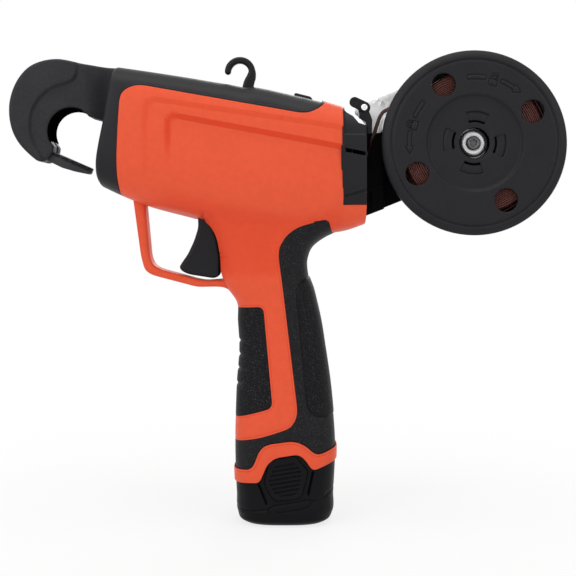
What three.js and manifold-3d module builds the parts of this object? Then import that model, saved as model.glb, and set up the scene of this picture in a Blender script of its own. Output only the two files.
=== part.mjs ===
// A battery-driven vine tying tool: a pistol-grip body, a hooked jaw that carries the tie wire round
// a cane, a twisting drive behind the jaw, and a spool of flat tie wire on an arm at the back.
// Millimetres, +Z up. The tool stands on its battery: the origin is the middle of the battery's base,
// the jaw points along -X and the spool cover faces -Y. Every piece is a mesh of its own.
import * as THREE from "three";
import { mergeVertices } from "three/addons/utils/BufferGeometryUtils.js";
import Module from "manifold-3d";

const wasm = await Module();
wasm.setup();

// Driving dimensions of the body
const barrelFront = -117;
const barrelLength = 165;
const barrelFoot = 179.4;
const barrelHeight = 105.2;
const barrelHalfWidth = 30;
const barrelPower = 3.5;
const columnFront = -33.4;
const columnDepth = 63.2;
const columnHeight = 190.7;
const columnHalfWidth = 24.5;
const columnPower = 2.8;
const skin = 1.6;
const wall = 2;
const fit = 0.3;
const overrun = 60;
const split = 0.3;
const rimStand = 1;
const ribThickness = 2.4;
const bossRadius = 4.5;
const screwHead = 3.2;
const screwHeadDepth = 2;
const screwShank = 1.5;
const screwReach = 12;

// Driving dimensions of the jaw
const hookFront = -172.8;
const hookLength = 58.8;
const hookFoot = 223.7;
const hookHeight = 63.7;
const hookHalfWidth = 14;
const hookStep = 1.2;
const jawX = -134.3;
const jawZ = 242.6;
const jawRadius = 14.2;
const jawStartAngle = 220;
const jawEndAngle = 40;
const jawArcSteps = 10;
const channelHalfWidth = 1.6;
const channelInset = 3;
const tangBack = -103;
const tangTop = 277.5;
const tangFoot = 253;
const hookLowerLipZ = 249.3;
const gatePivotX = -150.5;
const gatePivotZ = 228;
const gateTipX = -125.3;
const gateTipZ = 218.5;
const gateHubRadius = 3.1;
const gateTipRadius = 1.9;
const gateHalfWidth = 8;
const gateTravel = 55;
const gatePinRadius = 1.2;

// Driving dimensions of the twisting drive, along its own tilted axis
const driveX = -112;
const driveZ = 232.8;
const driveTilt = 10;
const twistHeadStart = 2;
const twistHeadLength = 18;
const twistHeadRadius = 6;
const twistSlotWidth = 2.2;
const twistSlotDepth = 8;
const spindleRadius = 3;
const bearingRadius = 9.5;
const bearingWidth = 7;
const frontBearingStart = 24;
const rearBearingStart = 50;
const gearStart = 60;
const gearWidth = 8;
const toothModule = 1.5;
const gearTeeth = 24;
const pinionTeeth = 8;
const toothDepth = 3;
const toothTipShare = 0.225;
const toothRootShare = 0.45;
const motorStart = 72;
const motorLength = 54;
const motorRadius = 15;
const motorShaftRadius = 1.5;
const motorShaftSeat = 5;
const firstMotorRib = 80;
const secondMotorRib = 118;

// Driving dimensions of the wire feed
const wireWidth = 2.2;
const wireThickness = 0.7;
const feedX = 26;
const feedZ = 217;
const feedY = -8;
const feedRollerRadius = 8;
const pressureRollerRadius = 6;
const rollerHalfWidth = 4;
const feedMotorRadius = 12;
const feedMotorLength = 20;
const feedShaftRadius = 2;
const tubeRadius = 2;
const cutterX = -92;
const cutterZ = 252;
const cutterHubRadius = 3.6;
const cutterHalfWidth = 1.6;
const cutterTipX = -99.8;
const cutterTipZ = 259.9;
const cutterTipRadius = 1.4;
const cutterPinRadius = 1.2;
const cutterPinHalfLength = 9;

// Driving dimensions of the trigger and its guard
const triggerFront = -67.9;
const triggerDepth = 30;
const triggerFoot = 151.1;
const triggerHeight = 41;
const triggerHalfWidth = 7.5;
const triggerPivotX = -48.5;
const triggerPivotZ = 186.3;
const triggerTravel = 13;
const triggerPinRadius = 1.5;
const triggerPinHalfLength = 14;
const triggerBossRadius = 4;
const guardFront = -97;
const guardLength = 64;
const guardFoot = 146;
const guardHeight = 60;
const guardHalfWidth = 9;
const switchFront = -31.5;
const switchLength = 18.5;
const switchFoot = 163;
const switchHeight = 15;
const switchHalfWidth = 7;
const springRadius = 2.6;
const springWire = 1;
const springZ = 172;

// Driving dimensions of the parts on top
const buttonX = 9.4;
const buttonZ = 267.4;
const buttonHalfLength = 5.6;
const buttonHalfWidth = 4;
const buttonFlange = 1.2;
const buttonFlangeTop = 259;
const buttonFlangeThickness = 1.6;
const powerSwitchTop = 255.8;
const powerSwitchHeight = 3.2;
const hangerX = -30.2;
const hangerZ = 280.5;
const hangerRadius = 7.6;
const hangerThickness = 4.1;
const hangerHalfWidth = 3;
const hangerStemX = -25;
const hangerStemWidth = 7.3;
const hangerStemZ = 272;
const hangerFootZ = 262.2;
const hangerFootHeight = 2.4;
const hangerFootMargin = 2.4;
const hangerTipAngle = 178;
const hangerNeckAngle = -12;
const hangerCrookAngle = -40;

// Driving dimensions of the electronics in the handle
const boardX = -20;
const boardThickness = 1.6;
const boardFoot = 100;
const boardHeight = 50;
const boardHalfWidth = 14;
const upperShelfZ = 144;
const terminalFront = -13;
const terminalLength = 20;
const terminalHalfWidth = 13;
const terminalFoot = 72;
const terminalHeight = 11;
const terminalShelfZ = 76;

// Driving dimensions of the battery
const cellRadius = 9.05;
const cellLength = 65;
const cellFloor = 3.5;
const cellPairX = 8;
const cellPairY = 9.15;
const cellFrontX = -9;
const towerWall = 0.8;
const towerTop = 70.5;
const padFront = -14.6;
const padLength = 26.7;
const padFoot = 16.5;
const padHeight = 27.7;
const padFace = 24.6;
const padThickness = 2;
const padRoom = 2.4;

// Driving dimensions of the spool and its carrier
const spoolX = 114.4;
const spoolZ = 235;
const coverRadius = 56.8;
const coverFace = -21;
const coverThickness = 3.5;
const coverBevel = 4.8;
const coverBevelDepth = 2;
const coverSkirt = 6;
const coverDishRadius = 30.3;
const coverDishDepth = 1.6;
const windowRadius = 7.2;
const windowRing = 40.1;
const windowAngle = 28.4;
const windowCount = 4;
const slotRing = 16;
const slotLength = 15;
const slotWidth = 7;
const slotAngle = -6;
const hubRadius = 9.1;
const hubBore = 4.3;
const hubFace = -12.6;
const washerRadius = 6.8;
const washerThickness = 0.9;
const screwHeadRadius = 4.3;
const screwHeadHeight = 2.2;
const screwShankRadius = 1.6;
const screwShankLength = 9;
const flangeRadius = 46.5;
const flangeFace = 4.3;
const flangeThickness = 1.3;
const bobbinRadius = 30;
const windingRadius = 42;
const windingPitch = 2.66;
const windingTurns = 7;
const windingSteps = 24;
const windingEndAngle = 116;
const wireDriftShare = 2.6;
const armNear = -5.5;
const armFar = 12.7;
const armFront = 48.3;
const armDepth = 10;
const armFoot = 190.1;
const armTop = 242;
const armPlateNear = 7;
const armBossRadius = 17;
const footBack = 44.1;
const footFront = 40.8;
const footNear = -4;
const footFar = 11.5;
const footLow = 202;
const footHigh = 234;
const footLip = 1.8;
const axleCollarRadius = 6;
const axleHeadRadius = 8;
const axleHeadThickness = 2.4;
const sidePlateNear = 13;
const sidePlateThickness = 1.6;
const sidePlateRadius = 50;
const sidePlateCorner = 5;
const leverX = 47;
const leverZ = 257;
const leverNear = -14.5;
const leverThickness = 3;
const leverHubRadius = 3.9;
const leverTabX = 41.2;
const leverTabZ = 260.5;
const leverTabRadius = 3.2;
const leverArmFront = 44.1;
const leverArmDepth = 8.1;
const leverArmFoot = 240.8;
const leverArmHeight = 16.3;
const leverPostRadius = 3;
const leverScrewRadius = 1.4;
const leverScrewHeadRadius = 2.6;
const leverScrewHeadHeight = 1.2;
const guideThickness = 1.4;
const guideNear = -11.5;

// Outline points, as shares of the piece that carries them
const barrelStationShares = [
  [0, 1, 0.281, 0.9],
  [0.073, 0.982, 0.227, 0.95],
  [0.176, 0.958, 0.162, 1],
  [0.327, 0.922, 0.096, 1],
  [0.467, 0.886, 0.042, 1],
  [0.648, 0.85, 0.006, 1],
  [0.8, 0.802, 0, 1],
  [0.921, 0.748, 0.012, 0.95],
  [1, 0.719, 0.054, 0.9],
];
const columnStationShares = [
  [0, 0.117, 0.877, 0.735],
  [0.01, 0.062, 0.932, 0.878],
  [0.04, 0.03, 0.97, 0.97],
  [0.257, 0.005, 0.997, 1],
  [0.455, 0.021, 0.948, 0.918],
  [0.571, 0.044, 0.897, 0.878],
  [0.653, 0.03, 0.858, 0.857],
  [0.719, -0.009, 0.813, 0.857],
  [0.759, -0.1, 0.783, 0.869],
  [0.812, -0.16, 0.728, 0.89],
  [0.862, -0.176, 0.728, 0.91],
  [0.901, -0.209, 0.788, 0.931],
  [0.931, -0.239, 0.918, 0.951],
  [0.957, -0.278, 1.097, 0.967],
  [1, -0.348, 1.146, 0.98],
  [1.075, -0.348, 1.146, 0.98],
];
const headCoverShares = [
  [0.845, 1.241], [0.845, 0.761], [0.806, 0.717], [0.768, 0.7], [0.164, 0.866],
  [0.121, 0.851], [0.093, 0.813], [0.086, 0.765], [0.081, 0.622], [0.076, 0.456],
  [0.076, 0.35], [0.081, 0.236], [0.081, 0.101], [-0.2, 0.101], [-0.2, 1.241],
];
const noseShares = [
  [0.076, 1.146], [0.062, 0.994], [0.026, 0.654], [0.008, 0.511], [0.007, 0.458],
  [0.016, 0.314], [0.03, 0.101], [-0.5, 0.101], [-0.5, 1.146],
];
const scoopShares = [
  [0.918, 1.051], [0.918, 0.733], [0.93, 0.711], [0.952, 0.689], [0.972, 0.646],
  [0.994, 0.635], [1.133, 0.629], [1.133, 1.051],
];
const collarShares = [
  [0.914, 1.051], [0.914, 0.166], [1.133, 0.166], [1.133, 1.051],
];
const frontGripShares = [
  [0.277, 0.704], [0.373, 0.383], [-0.421, 0.303], [-0.421, 0.687],
];
const rearGripShares = [
  [1.478, 0.923], [0.953, 0.937], [0.915, 0.987], [0.63, 0.96], [0.517, 0.934], [0.451, 0.897],
  [0.441, 0.868], [0.487, 0.751], [0.623, 0.377], [0.616, 0.352], [0.582, 0.33], [0.535, 0.315],
  [0.277, 0.287], [0.101, 0.274], [-0.421, 0.235], [-0.421, -0.105], [1.478, -0.105],
];
const rimTopShares = [
  [-0.421, 0.168], [-0.136, 0.173], [0.182, 0.185], [0.259, 0.251], [0.334, 0.268],
  [0.581, 0.278], [0.687, 0.266], [0.804, 0.23], [1.019, 0.249], [1.478, 0.283],
];
const rimLowShares = [
  [-0.421, 0.123], [-0.136, 0.128], [0.182, 0.142], [0.256, 0.144], [0.334, 0.205],
  [0.411, 0.225], [0.625, 0.235], [0.687, 0.22], [0.764, 0.182], [1.019, 0.21], [1.478, 0.252],
];
const belowRimShares = [
  [1.478, -0.105], [-0.421, -0.105],
];
const hookBackShares = [
  [1, 0.926], [0.769, 0.954], [0.568, 0.997], [0.468, 1], [0.347, 0.983], [0.216, 0.932],
  [0.116, 0.838], [0.044, 0.719], [0.005, 0.589], [0, 0.487], [0.01, 0.385], [0.044, 0.273],
  [0.116, 0.162], [0.216, 0.069], [0.306, 0], [0.366, 0], [0.406, 0.024], [0.463, 0.102],
];
const hookStepShares = [
  [0.718, 1.1], [0.718, 0.878], [0.689, 0.802], [0.618, 0.765], [0.517, 0.742], [0.417, 0.7],
  [0.317, 0.617], [0.247, 0.505], [0.221, 0.394], [0.227, 0.274], [0.267, 0.162], [0.346, 0.051],
  [0.346, -0.1], [-0.2, -0.1], [-0.2, 1.1],
];
const triggerShares = [
  [0.397, 0.998], [0.403, 0.876], [0.393, 0.776], [0.307, 0.573], [0.18, 0.373], [0.033, 0.217],
  [0, 0.171], [0.053, 0.11], [0.203, 0.061], [0.733, 0], [0.83, 0.022], [0.997, 0.168],
  [0.997, 0.778], [0.897, 0.973],
];
const guardOuterShares = [
  [-0.005, 0.983], [0.007, 0.901], [0.081, 0.32], [0.116, 0.181], [0.165, 0.134], [0.233, 0.108],
  [0.632, -0.003], [0.859, -0.003], [0.942, -0.032], [1.02, -0.157], [1.109, -0.15], [1.109, 0.233],
];
const guardInnerShares = [
  [0.117, 0.921], [0.125, 0.843], [0.172, 0.309], [0.204, 0.227], [0.274, 0.181], [0.641, 0.076],
  [0.719, 0.061], [0.8, 0.071], [0.894, 0.154], [0.894, 1.004],
];
const latchPadShares = [
  [0.131, 0.892], [0.697, 1], [1, 0.653], [0.865, 0.126], [0.775, 0.054], [0.281, 0],
  [0.187, 0.072], [0, 0.401],
];
const leverArmShares = [
  [0, 0.613], [0.531, 0.429], [0.58, 0], [0.951, 0], [1, 0.552], [0.778, 0.859], [0.358, 1],
  [-0.025, 0.89],
];
const shellScrewShares = [
  [0.176, 0.272, 0.8], [0.873, 0.662, 0.76], [0.679, -0.584, 0.6], [0.806, 0.129, 0.8],
];
const wireTubeShares = [
  [0.827, 0.357, 0.267], [0.776, 0.373, 0.35], [0.661, 0.443, 0.57], [0.467, 0.576, 0.667],
  [0.285, 0.69, 0.567], [0.176, 0.766, 0.233], [0.136, 0.79, 0],
];
const feedWireShares = [
  [1.245, 0.868], [1.164, 0.803], [1.093, 0.737], [1.072, 0.722], [1.059, 0.695], [1.047, 0.647],
  [1.037, 0.6], [1.028, 0.553], [1.017, 0.499], [1.006, 0.457], [0.992, 0.414], [0.967, 0.377],
  [0.93, 0.36],
];
const guideShares = [
  [1.133, 0.753], [1.097, 0.73], [1.081, 0.711], [1.069, 0.671], [1.063, 0.632],
];

// Materials
const finishes = {
  orange: { color: 0xe4583b, roughness: 0.45, metalness: 0 },
  blackCover: { color: 0x2f2e32, roughness: 0.55, metalness: 0 },
  rubber: { color: 0x262528, roughness: 0.8, metalness: 0 },
  hookPlastic: { color: 0x39373b, roughness: 0.5, metalness: 0 },
  batteryPlastic: { color: 0x1c1b1e, roughness: 0.55, metalness: 0 },
  steel: { color: 0xc9c8c8, roughness: 0.3, metalness: 0.9 },
  darkSteel: { color: 0x5a5a5e, roughness: 0.4, metalness: 0.8 },
  brass: { color: 0xb08d4a, roughness: 0.35, metalness: 0.9 },
  wire: { color: 0x6b2b25, roughness: 0.5, metalness: 0.1 },
  board: { color: 0x1d5a34, roughness: 0.6, metalness: 0 },
  cell: { color: 0x3f6fa8, roughness: 0.45, metalness: 0 },
  whiteNylon: { color: 0xeeeeec, roughness: 0.5, metalness: 0 },
};
const roundSides = 20;
const smallSides = 8;
const windowSides = 16;
const slotSides = 8;
const wideSides = 36;
const outerSides = 16;
const innerSides = 12;
const tubeSteps = 14;
const tubeSides = 8;
const tubeRoomSides = 6;
const bowSteps = 12;
const weld = 1e-4;

const radians = THREE.MathUtils.degToRad;
const barrelFrame = { x: barrelFront, width: barrelLength, z: barrelFoot, height: barrelHeight };
const columnFrame = { x: columnFront, width: columnDepth, z: 0, height: columnHeight };
const hookFrame = { x: hookFront, width: hookLength, z: hookFoot, height: hookHeight };
const triggerFrame = { x: triggerFront, width: triggerDepth, z: triggerFoot, height: triggerHeight };
const guardFrame = { x: guardFront, width: guardLength, z: guardFoot, height: guardHeight };
const padFrame = { x: padFront, width: padLength, z: padFoot, height: padHeight };
const leverFrame = {
  x: leverArmFront, width: leverArmDepth, z: leverArmFoot, height: leverArmHeight,
};

// Side-view outlines: lists of [x, z]
function placed(shares, frame) {
  return shares.map(([a, b]) => [frame.x + a * frame.width, frame.z + b * frame.height]);
}

function moved(points, dx, dz) {
  return points.map(([x, z]) => [x + dx, z + dz]);
}

function turnedAbout(points, cx, cz, degrees) {
  const c = Math.cos(radians(degrees));
  const s = Math.sin(radians(degrees));
  return points.map(([x, z]) => [
    cx + (x - cx) * c - (z - cz) * s,
    cz + (x - cx) * s + (z - cz) * c,
  ]);
}

function circle(cx, cz, radius, sides = roundSides) {
  return Array.from({ length: sides }, (_, i) => {
    const a = (2 * Math.PI * i) / sides;
    return [cx + radius * Math.cos(a), cz + radius * Math.sin(a)];
  });
}

// The convex outline round a set of points, by the two-chain method.
function hull(points) {
  const sorted = [...points].sort((p, q) => p[0] - q[0] || p[1] - q[1]);
  const turn = (o, a, b) => (a[0] - o[0]) * (b[1] - o[1]) - (a[1] - o[1]) * (b[0] - o[0]);
  const chain = (list) => {
    const kept = [];
    for (const p of list) {
      while (kept.length > 1 && turn(kept.at(-2), kept.at(-1), p) <= 0) kept.pop();
      kept.push(p);
    }
    return kept.slice(0, -1);
  };
  return [...chain(sorted), ...chain([...sorted].reverse())];
}

// The outline moved outwards by a distance, or inwards where it is negative, with mitred corners.
function grown(points, distance) {
  const area = points.reduce((sum, [x, z], i) => {
    const [nx, nz] = points[(i + 1) % points.length];
    return sum + x * nz - nx * z;
  }, 0);
  const side = area > 0 ? distance : -distance;
  const normal = (a, b) => {
    const length = Math.hypot(b[0] - a[0], b[1] - a[1]);
    return [(b[1] - a[1]) / length, (a[0] - b[0]) / length];
  };
  return points.map((p, i) => {
    const before = normal(points.at(i - 1), p);
    const after = normal(p, points[(i + 1) % points.length]);
    const scale = side / (1 + before[0] * after[0] + before[1] * after[1]);
    return [p[0] + (before[0] + after[0]) * scale, p[1] + (before[1] + after[1]) * scale];
  });
}

// Geometries
function plate(points, near, far) {
  const shape = new THREE.Shape(points.map(([x, z]) => new THREE.Vector2(x, z)));
  const settings = { depth: far - near, bevelEnabled: false, steps: 1 };
  return new THREE.ExtrudeGeometry(shape, settings).rotateX(Math.PI / 2).translate(0, far, 0);
}

function rod(cx, cz, radius, near, far, sides = roundSides) {
  const geometry = new THREE.CylinderGeometry(radius, radius, far - near, sides);
  return geometry.translate(cx, (near + far) / 2, cz);
}

function block(x0, x1, y0, y1, z0, z1) {
  const geometry = new THREE.BoxGeometry(x1 - x0, y1 - y0, z1 - z0);
  return geometry.translate((x0 + x1) / 2, (y0 + y1) / 2, (z0 + z1) / 2);
}

// A turned piece: profile points are [radius, y], the axis runs along Y through (cx, cz).
function turned(profile, cx, cz, sides = roundSides) {
  const points = profile.map(([radius, y]) => new THREE.Vector2(radius, y));
  return new THREE.LatheGeometry([...points, points[0]], sides).translate(cx, 0, cz);
}

// A closed skin over rings of equal count, with a fan of faces over each end.
function loft(rings) {
  const count = rings[0].length;
  const positions = rings.flat(2);
  const faces = [];
  rings.slice(1).forEach((_, r) => {
    for (let i = 0; i < count; i++) {
      const a = r * count + i;
      const b = r * count + ((i + 1) % count);
      faces.push(a, b, b + count, a, b + count, a + count);
    }
  });
  [0, rings.length - 1].forEach((r) => {
    const ring = rings[r];
    const centre = [0, 1, 2].map((k) => ring.reduce((sum, p) => sum + p[k], 0) / count);
    const tip = positions.length / 3;
    positions.push(...centre);
    for (let i = 0; i < count; i++) {
      const a = r * count + i;
      const b = r * count + ((i + 1) % count);
      faces.push(...(r ? [a, b, tip] : [b, a, tip]));
    }
  });
  const geometry = new THREE.BufferGeometry();
  geometry.setAttribute("position", new THREE.Float32BufferAttribute(positions, 3));
  return geometry.setIndex(faces);
}

// A rounded-square ring of unit half sizes.
function roundedSquare(power, sides) {
  return Array.from({ length: sides }, (_, i) => {
    const a = (2 * Math.PI * i) / sides;
    const bent = (v) => Math.sign(v) * Math.abs(v) ** (2 / power);
    return [bent(Math.cos(a)), bent(Math.sin(a))];
  });
}

// A section carried along a curve: section points are [across, up].
function swept(path, section, steps) {
  const shape = new THREE.Shape(section.map(([a, b]) => new THREE.Vector2(a, b)));
  return new THREE.ExtrudeGeometry(shape, { steps, extrudePath: path, bevelEnabled: false });
}

// Solids
function solid(geometry) {
  const bare = geometry.clone();
  bare.deleteAttribute("normal");
  bare.deleteAttribute("uv");
  const merged = mergeVertices(bare, weld);
  const triVerts = new Uint32Array(merged.index.array);
  const vertProperties = merged.attributes.position.array;
  const made = new wasm.Manifold(new wasm.Mesh({ numProp: 3, vertProperties, triVerts }));
  if (made.volume() > 0) return made;
  for (let i = 0; i < triVerts.length; i += 3) {
    [triVerts[i], triVerts[i + 1]] = [triVerts[i + 1], triVerts[i]];
  }
  return new wasm.Manifold(new wasm.Mesh({ numProp: 3, vertProperties, triVerts }));
}

function joined(...geometries) {
  return geometries.map(solid).reduce((sum, next) => sum.add(next));
}

function without(base, ...cuts) {
  return cuts.reduce((rest, cut) => rest.subtract(solid(cut)), base);
}

function geometryOf(shape) {
  const mesh = shape.getMesh();
  const geometry = new THREE.BufferGeometry();
  geometry.setAttribute("position", new THREE.BufferAttribute(mesh.vertProperties, 3));
  geometry.setIndex(new THREE.BufferAttribute(mesh.triVerts, 1));
  geometry.computeVertexNormals();
  return geometry;
}

function piece(parent, name, shape, finish) {
  const geometry = shape.isBufferGeometry ? shape : geometryOf(shape);
  const mesh = new THREE.Mesh(geometry, new THREE.MeshStandardMaterial(finishes[finish]));
  mesh.name = name;
  parent.add(mesh);
  return mesh;
}

const tool = new THREE.Group();
const drive = new THREE.Group();
drive.position.set(driveX, 0, driveZ);
drive.rotation.y = radians(driveTilt);
drive.updateMatrix();
tool.add(drive);

// A cylinder along the drive's own axis, height being its distance above that axis.
function driveRod(start, end, radius, height = 0, sides = roundSides) {
  const geometry = new THREE.CylinderGeometry(radius, radius, end - start, sides);
  return geometry.rotateZ(Math.PI / 2).translate((start + end) / 2, 0, height);
}

function inWorld(geometry) {
  return geometry.applyMatrix4(drive.matrix);
}

// The body as nested solids: each is the outer shape drawn in by an inset
function barrel(inset) {
  const unit = roundedSquare(barrelPower, inset > 0 ? innerSides : outerSides);
  const last = barrelStationShares.length - 1;
  const rings = barrelStationShares.map(([along, top, foot, width], i) => {
    const x = barrelFront + along * barrelLength + (i ? 0 : inset) - (i === last ? inset : 0);
    const half = ((top - foot) * barrelHeight) / 2 - inset;
    const middle = barrelFoot + ((top + foot) * barrelHeight) / 2;
    const halfWidth = width * barrelHalfWidth - inset;
    return unit.map(([across, up]) => [x, across * halfWidth, middle + up * half]);
  });
  const nose = moved(placed(noseShares, barrelFrame), inset, 0);
  const scoop = moved(placed(scoopShares, barrelFrame), -inset, -inset);
  return without(solid(loft(rings)), plate(nose, -overrun, overrun), plate(scoop, -overrun, overrun));
}

function column(inset) {
  const unit = roundedSquare(columnPower, inset > 0 ? innerSides : outerSides);
  const rings = columnStationShares.map(([up, front, back, width]) => {
    const half = ((back - front) * columnDepth) / 2 - inset;
    const middle = columnFront + ((front + back) * columnDepth) / 2;
    const halfWidth = width * columnHalfWidth - inset;
    return unit.map(([along, across]) => [middle + along * half, across * halfWidth, up * columnHeight]);
  });
  return solid(loft(rings));
}

function body(inset) {
  return barrel(inset).add(column(inset));
}

const outer = body(0);
const bed = body(skin);
const under = body(skin - fit);
const cavity = body(skin + wall);

const through = (points) => plate(points, -overrun, overrun);
const headRegion = placed(headCoverShares, barrelFrame);
const noseRegion = placed(noseShares, barrelFrame);
const collarRegion = placed(collarShares, barrelFrame);
const frontGripRegion = placed(frontGripShares, columnFrame);
const rearGripRegion = placed(rearGripShares, columnFrame);
const rimTop = placed(rimTopShares, columnFrame);
const rimLow = placed(rimLowShares, columnFrame);
const belowCorners = placed(belowRimShares, columnFrame);
const rimRegion = [...rimTop, ...[...rimLow].reverse()];
const belowRimTop = [...rimTop, ...belowCorners];
const belowRimLow = [...rimLow, ...belowCorners];

// Things that pass through the body and need room in it
const tangRoom = block(
  hookFront, tangBack + fit, -hookHalfWidth - fit, hookHalfWidth + fit, tangFoot - fit, tangTop + fit,
);
const headBore = inWorld(driveRod(-overrun, frontBearingStart, twistHeadRadius + 2 * fit));
const buttonSlot = block(
  buttonX - buttonHalfLength - fit, buttonX + buttonHalfLength + fit,
  -buttonHalfWidth - fit, buttonHalfWidth + fit, buttonFlangeTop, buttonZ + overrun,
);
const hangerSlot = block(
  hangerStemX - hangerStemWidth / 2 - fit, hangerStemX + hangerStemWidth / 2 + fit,
  -hangerHalfWidth - fit, hangerHalfWidth + fit, hangerFootZ, hangerStemZ + overrun,
);
const footSlot = block(
  footFront, armFront + overrun, footNear - fit, footFar + fit, footLow - fit, footHigh + fit,
);
const wireSlotWidth = 2 * wireWidth;
const wireSlotZ = feedZ - wireThickness;
const wireSlotHeight = feedRollerRadius + pressureRollerRadius;
const wireSlot = block(
  footBack - fit, armFront + wall, feedY - wireSlotWidth / 2, feedY + wireSlotWidth / 2,
  wireSlotZ, wireSlotZ + wireSlotHeight,
);

function triggerRoom() {
  const outline = grown(placed(triggerShares, triggerFrame), 2 * fit);
  const half = triggerHalfWidth + 2 * fit;
  const angles = [0, triggerTravel / 2, triggerTravel];
  return joined(...angles.map((angle) => (
    plate(turnedAbout(outline, triggerPivotX, triggerPivotZ, angle), -half, half)
  )));
}

// The tube that leads the wire from the rollers, past the motor, to the jaw
function tubeCurve() {
  return new THREE.CatmullRomCurve3(wireTubeShares.map(([along, up, side]) => (
    new THREE.Vector3(
      barrelFront + along * barrelLength, -side * barrelHalfWidth, barrelFoot + up * barrelHeight,
    )
  )));
}

// Ribs and bosses inside the shells
function ribs() {
  const shelf = (z, x0 = -overrun) => block(x0, overrun, -overrun, overrun, z, z + ribThickness);
  const driveWall = (start, low) => inWorld(
    block(start, start + ribThickness, -overrun, overrun, low, overrun),
  );
  const middleOf = (start, width) => start + (width - ribThickness) / 2;
  const pinionHeight = ((gearTeeth + pinionTeeth) * toothModule) / 2;
  let made = joined(
    driveWall(middleOf(frontBearingStart, bearingWidth), -overrun),
    driveWall(middleOf(rearBearingStart, bearingWidth), -overrun),
  );
  made = without(
    made,
    inWorld(driveRod(frontBearingStart, rearBearingStart + bearingWidth, bearingRadius + fit)),
    block(
      barrelFront, cutterX + bossRadius, -2 * bossRadius, 2 * bossRadius,
      cutterZ, barrelFoot + barrelHeight,
    ),
  );
  let motorWalls = joined(
    driveWall(firstMotorRib, motorRadius / 2), driveWall(secondMotorRib, motorRadius / 2),
  );
  motorWalls = without(
    motorWalls,
    inWorld(driveRod(motorStart, motorStart + motorLength, motorRadius + fit, pinionHeight)),
    powerSwitchBlock(fit),
    buttonBlock(2 * fit),
    hangerFoot(fit),
  );
  const board = block(
    boardX - boardThickness / 2 - fit, boardX + boardThickness / 2 + fit,
    -boardHalfWidth - fit, boardHalfWidth + fit, boardFoot, boardFoot + boardHeight,
  );
  const terminals = block(
    terminalFront - fit, terminalFront + terminalLength + fit,
    -terminalHalfWidth - fit, terminalHalfWidth + fit, terminalFoot, terminalFoot + terminalHeight,
  );
  const shelves = without(
    joined(
      shelf(upperShelfZ), shelf(terminalShelfZ),
      shelf(switchFoot - fit - ribThickness, switchFront + fit),
    ),
    board, terminals,
  );
  const feedRibNear = feedMotorNear() + feedMotorLength / 2;
  const motorRibs = without(
    joined(block(
      feedX - feedMotorRadius - wall, armFront + wall, feedRibNear, feedRibNear + ribThickness,
      barrelFoot, feedZ + wall,
    )),
    rod(feedX, feedMotorZ(), feedMotorRadius + fit, feedMotorNear(), overrun),
    block(
      footFront - fit, armFront + wall, -overrun, overrun,
      footLow - footLip - fit, footHigh + footLip + fit,
    ),
  );
  const bosses = shellScrewShares.map(([along, up]) => rod(
    barrelFront + along * barrelLength, barrelFoot + up * barrelHeight, bossRadius,
    -overrun, overrun, smallSides,
  ));
  const pinBosses = without(
    joined(
      rod(triggerPivotX, triggerPivotZ, triggerBossRadius, -overrun, overrun, smallSides),
      rod(cutterX, cutterZ, cutterHubRadius, -overrun, overrun, smallSides),
    ),
    block(
      triggerPivotX - triggerDepth, triggerPivotX + triggerDepth,
      -triggerHalfWidth - fit, triggerHalfWidth + fit, triggerFoot, triggerPivotZ + triggerDepth,
    ),
    block(
      cutterX - overrun / 2, cutterX + overrun / 2, -cutterHalfWidth - fit, cutterHalfWidth + fit,
      cutterZ - bossRadius, cutterZ + overrun,
    ),
  );
  const tubeRoom = circle(0, 0, tubeRadius + 2 * fit, tubeRoomSides);
  const tube = solid(swept(tubeCurve(), tubeRoom, tubeSteps));
  return made.add(motorWalls).add(shelves).add(motorRibs).add(joined(...bosses)).add(pinBosses)
    .subtract(tube).intersect(bed);
}

function feedMotorZ() {
  return feedZ - wireThickness / 2 - fit / 3 - feedRollerRadius;
}

function feedMotorNear() {
  return feedY + rollerHalfWidth + 2 * fit;
}

function powerSwitchBlock(room) {
  return block(
    buttonX - buttonHalfLength - room, buttonX + buttonHalfLength + room,
    -buttonHalfWidth - wall - room, buttonHalfWidth + wall + room,
    powerSwitchTop - powerSwitchHeight - room, powerSwitchTop + room,
  );
}

function hangerFoot(room) {
  const half = hangerStemWidth / 2 + hangerFootMargin + room;
  const side = hangerHalfWidth + hangerFootMargin + room;
  return block(
    hangerStemX - half, hangerStemX + half, -side, side,
    hangerFootZ - room, hangerFootZ + hangerFootHeight + room,
  );
}

function buttonBlock(room) {
  return block(
    buttonX - buttonHalfLength - buttonFlange - room, buttonX + buttonHalfLength + buttonFlange + room,
    -buttonHalfWidth - buttonFlange - room, buttonHalfWidth + buttonFlange + room,
    powerSwitchTop, barrelFoot + barrelHeight,
  );
}

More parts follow.
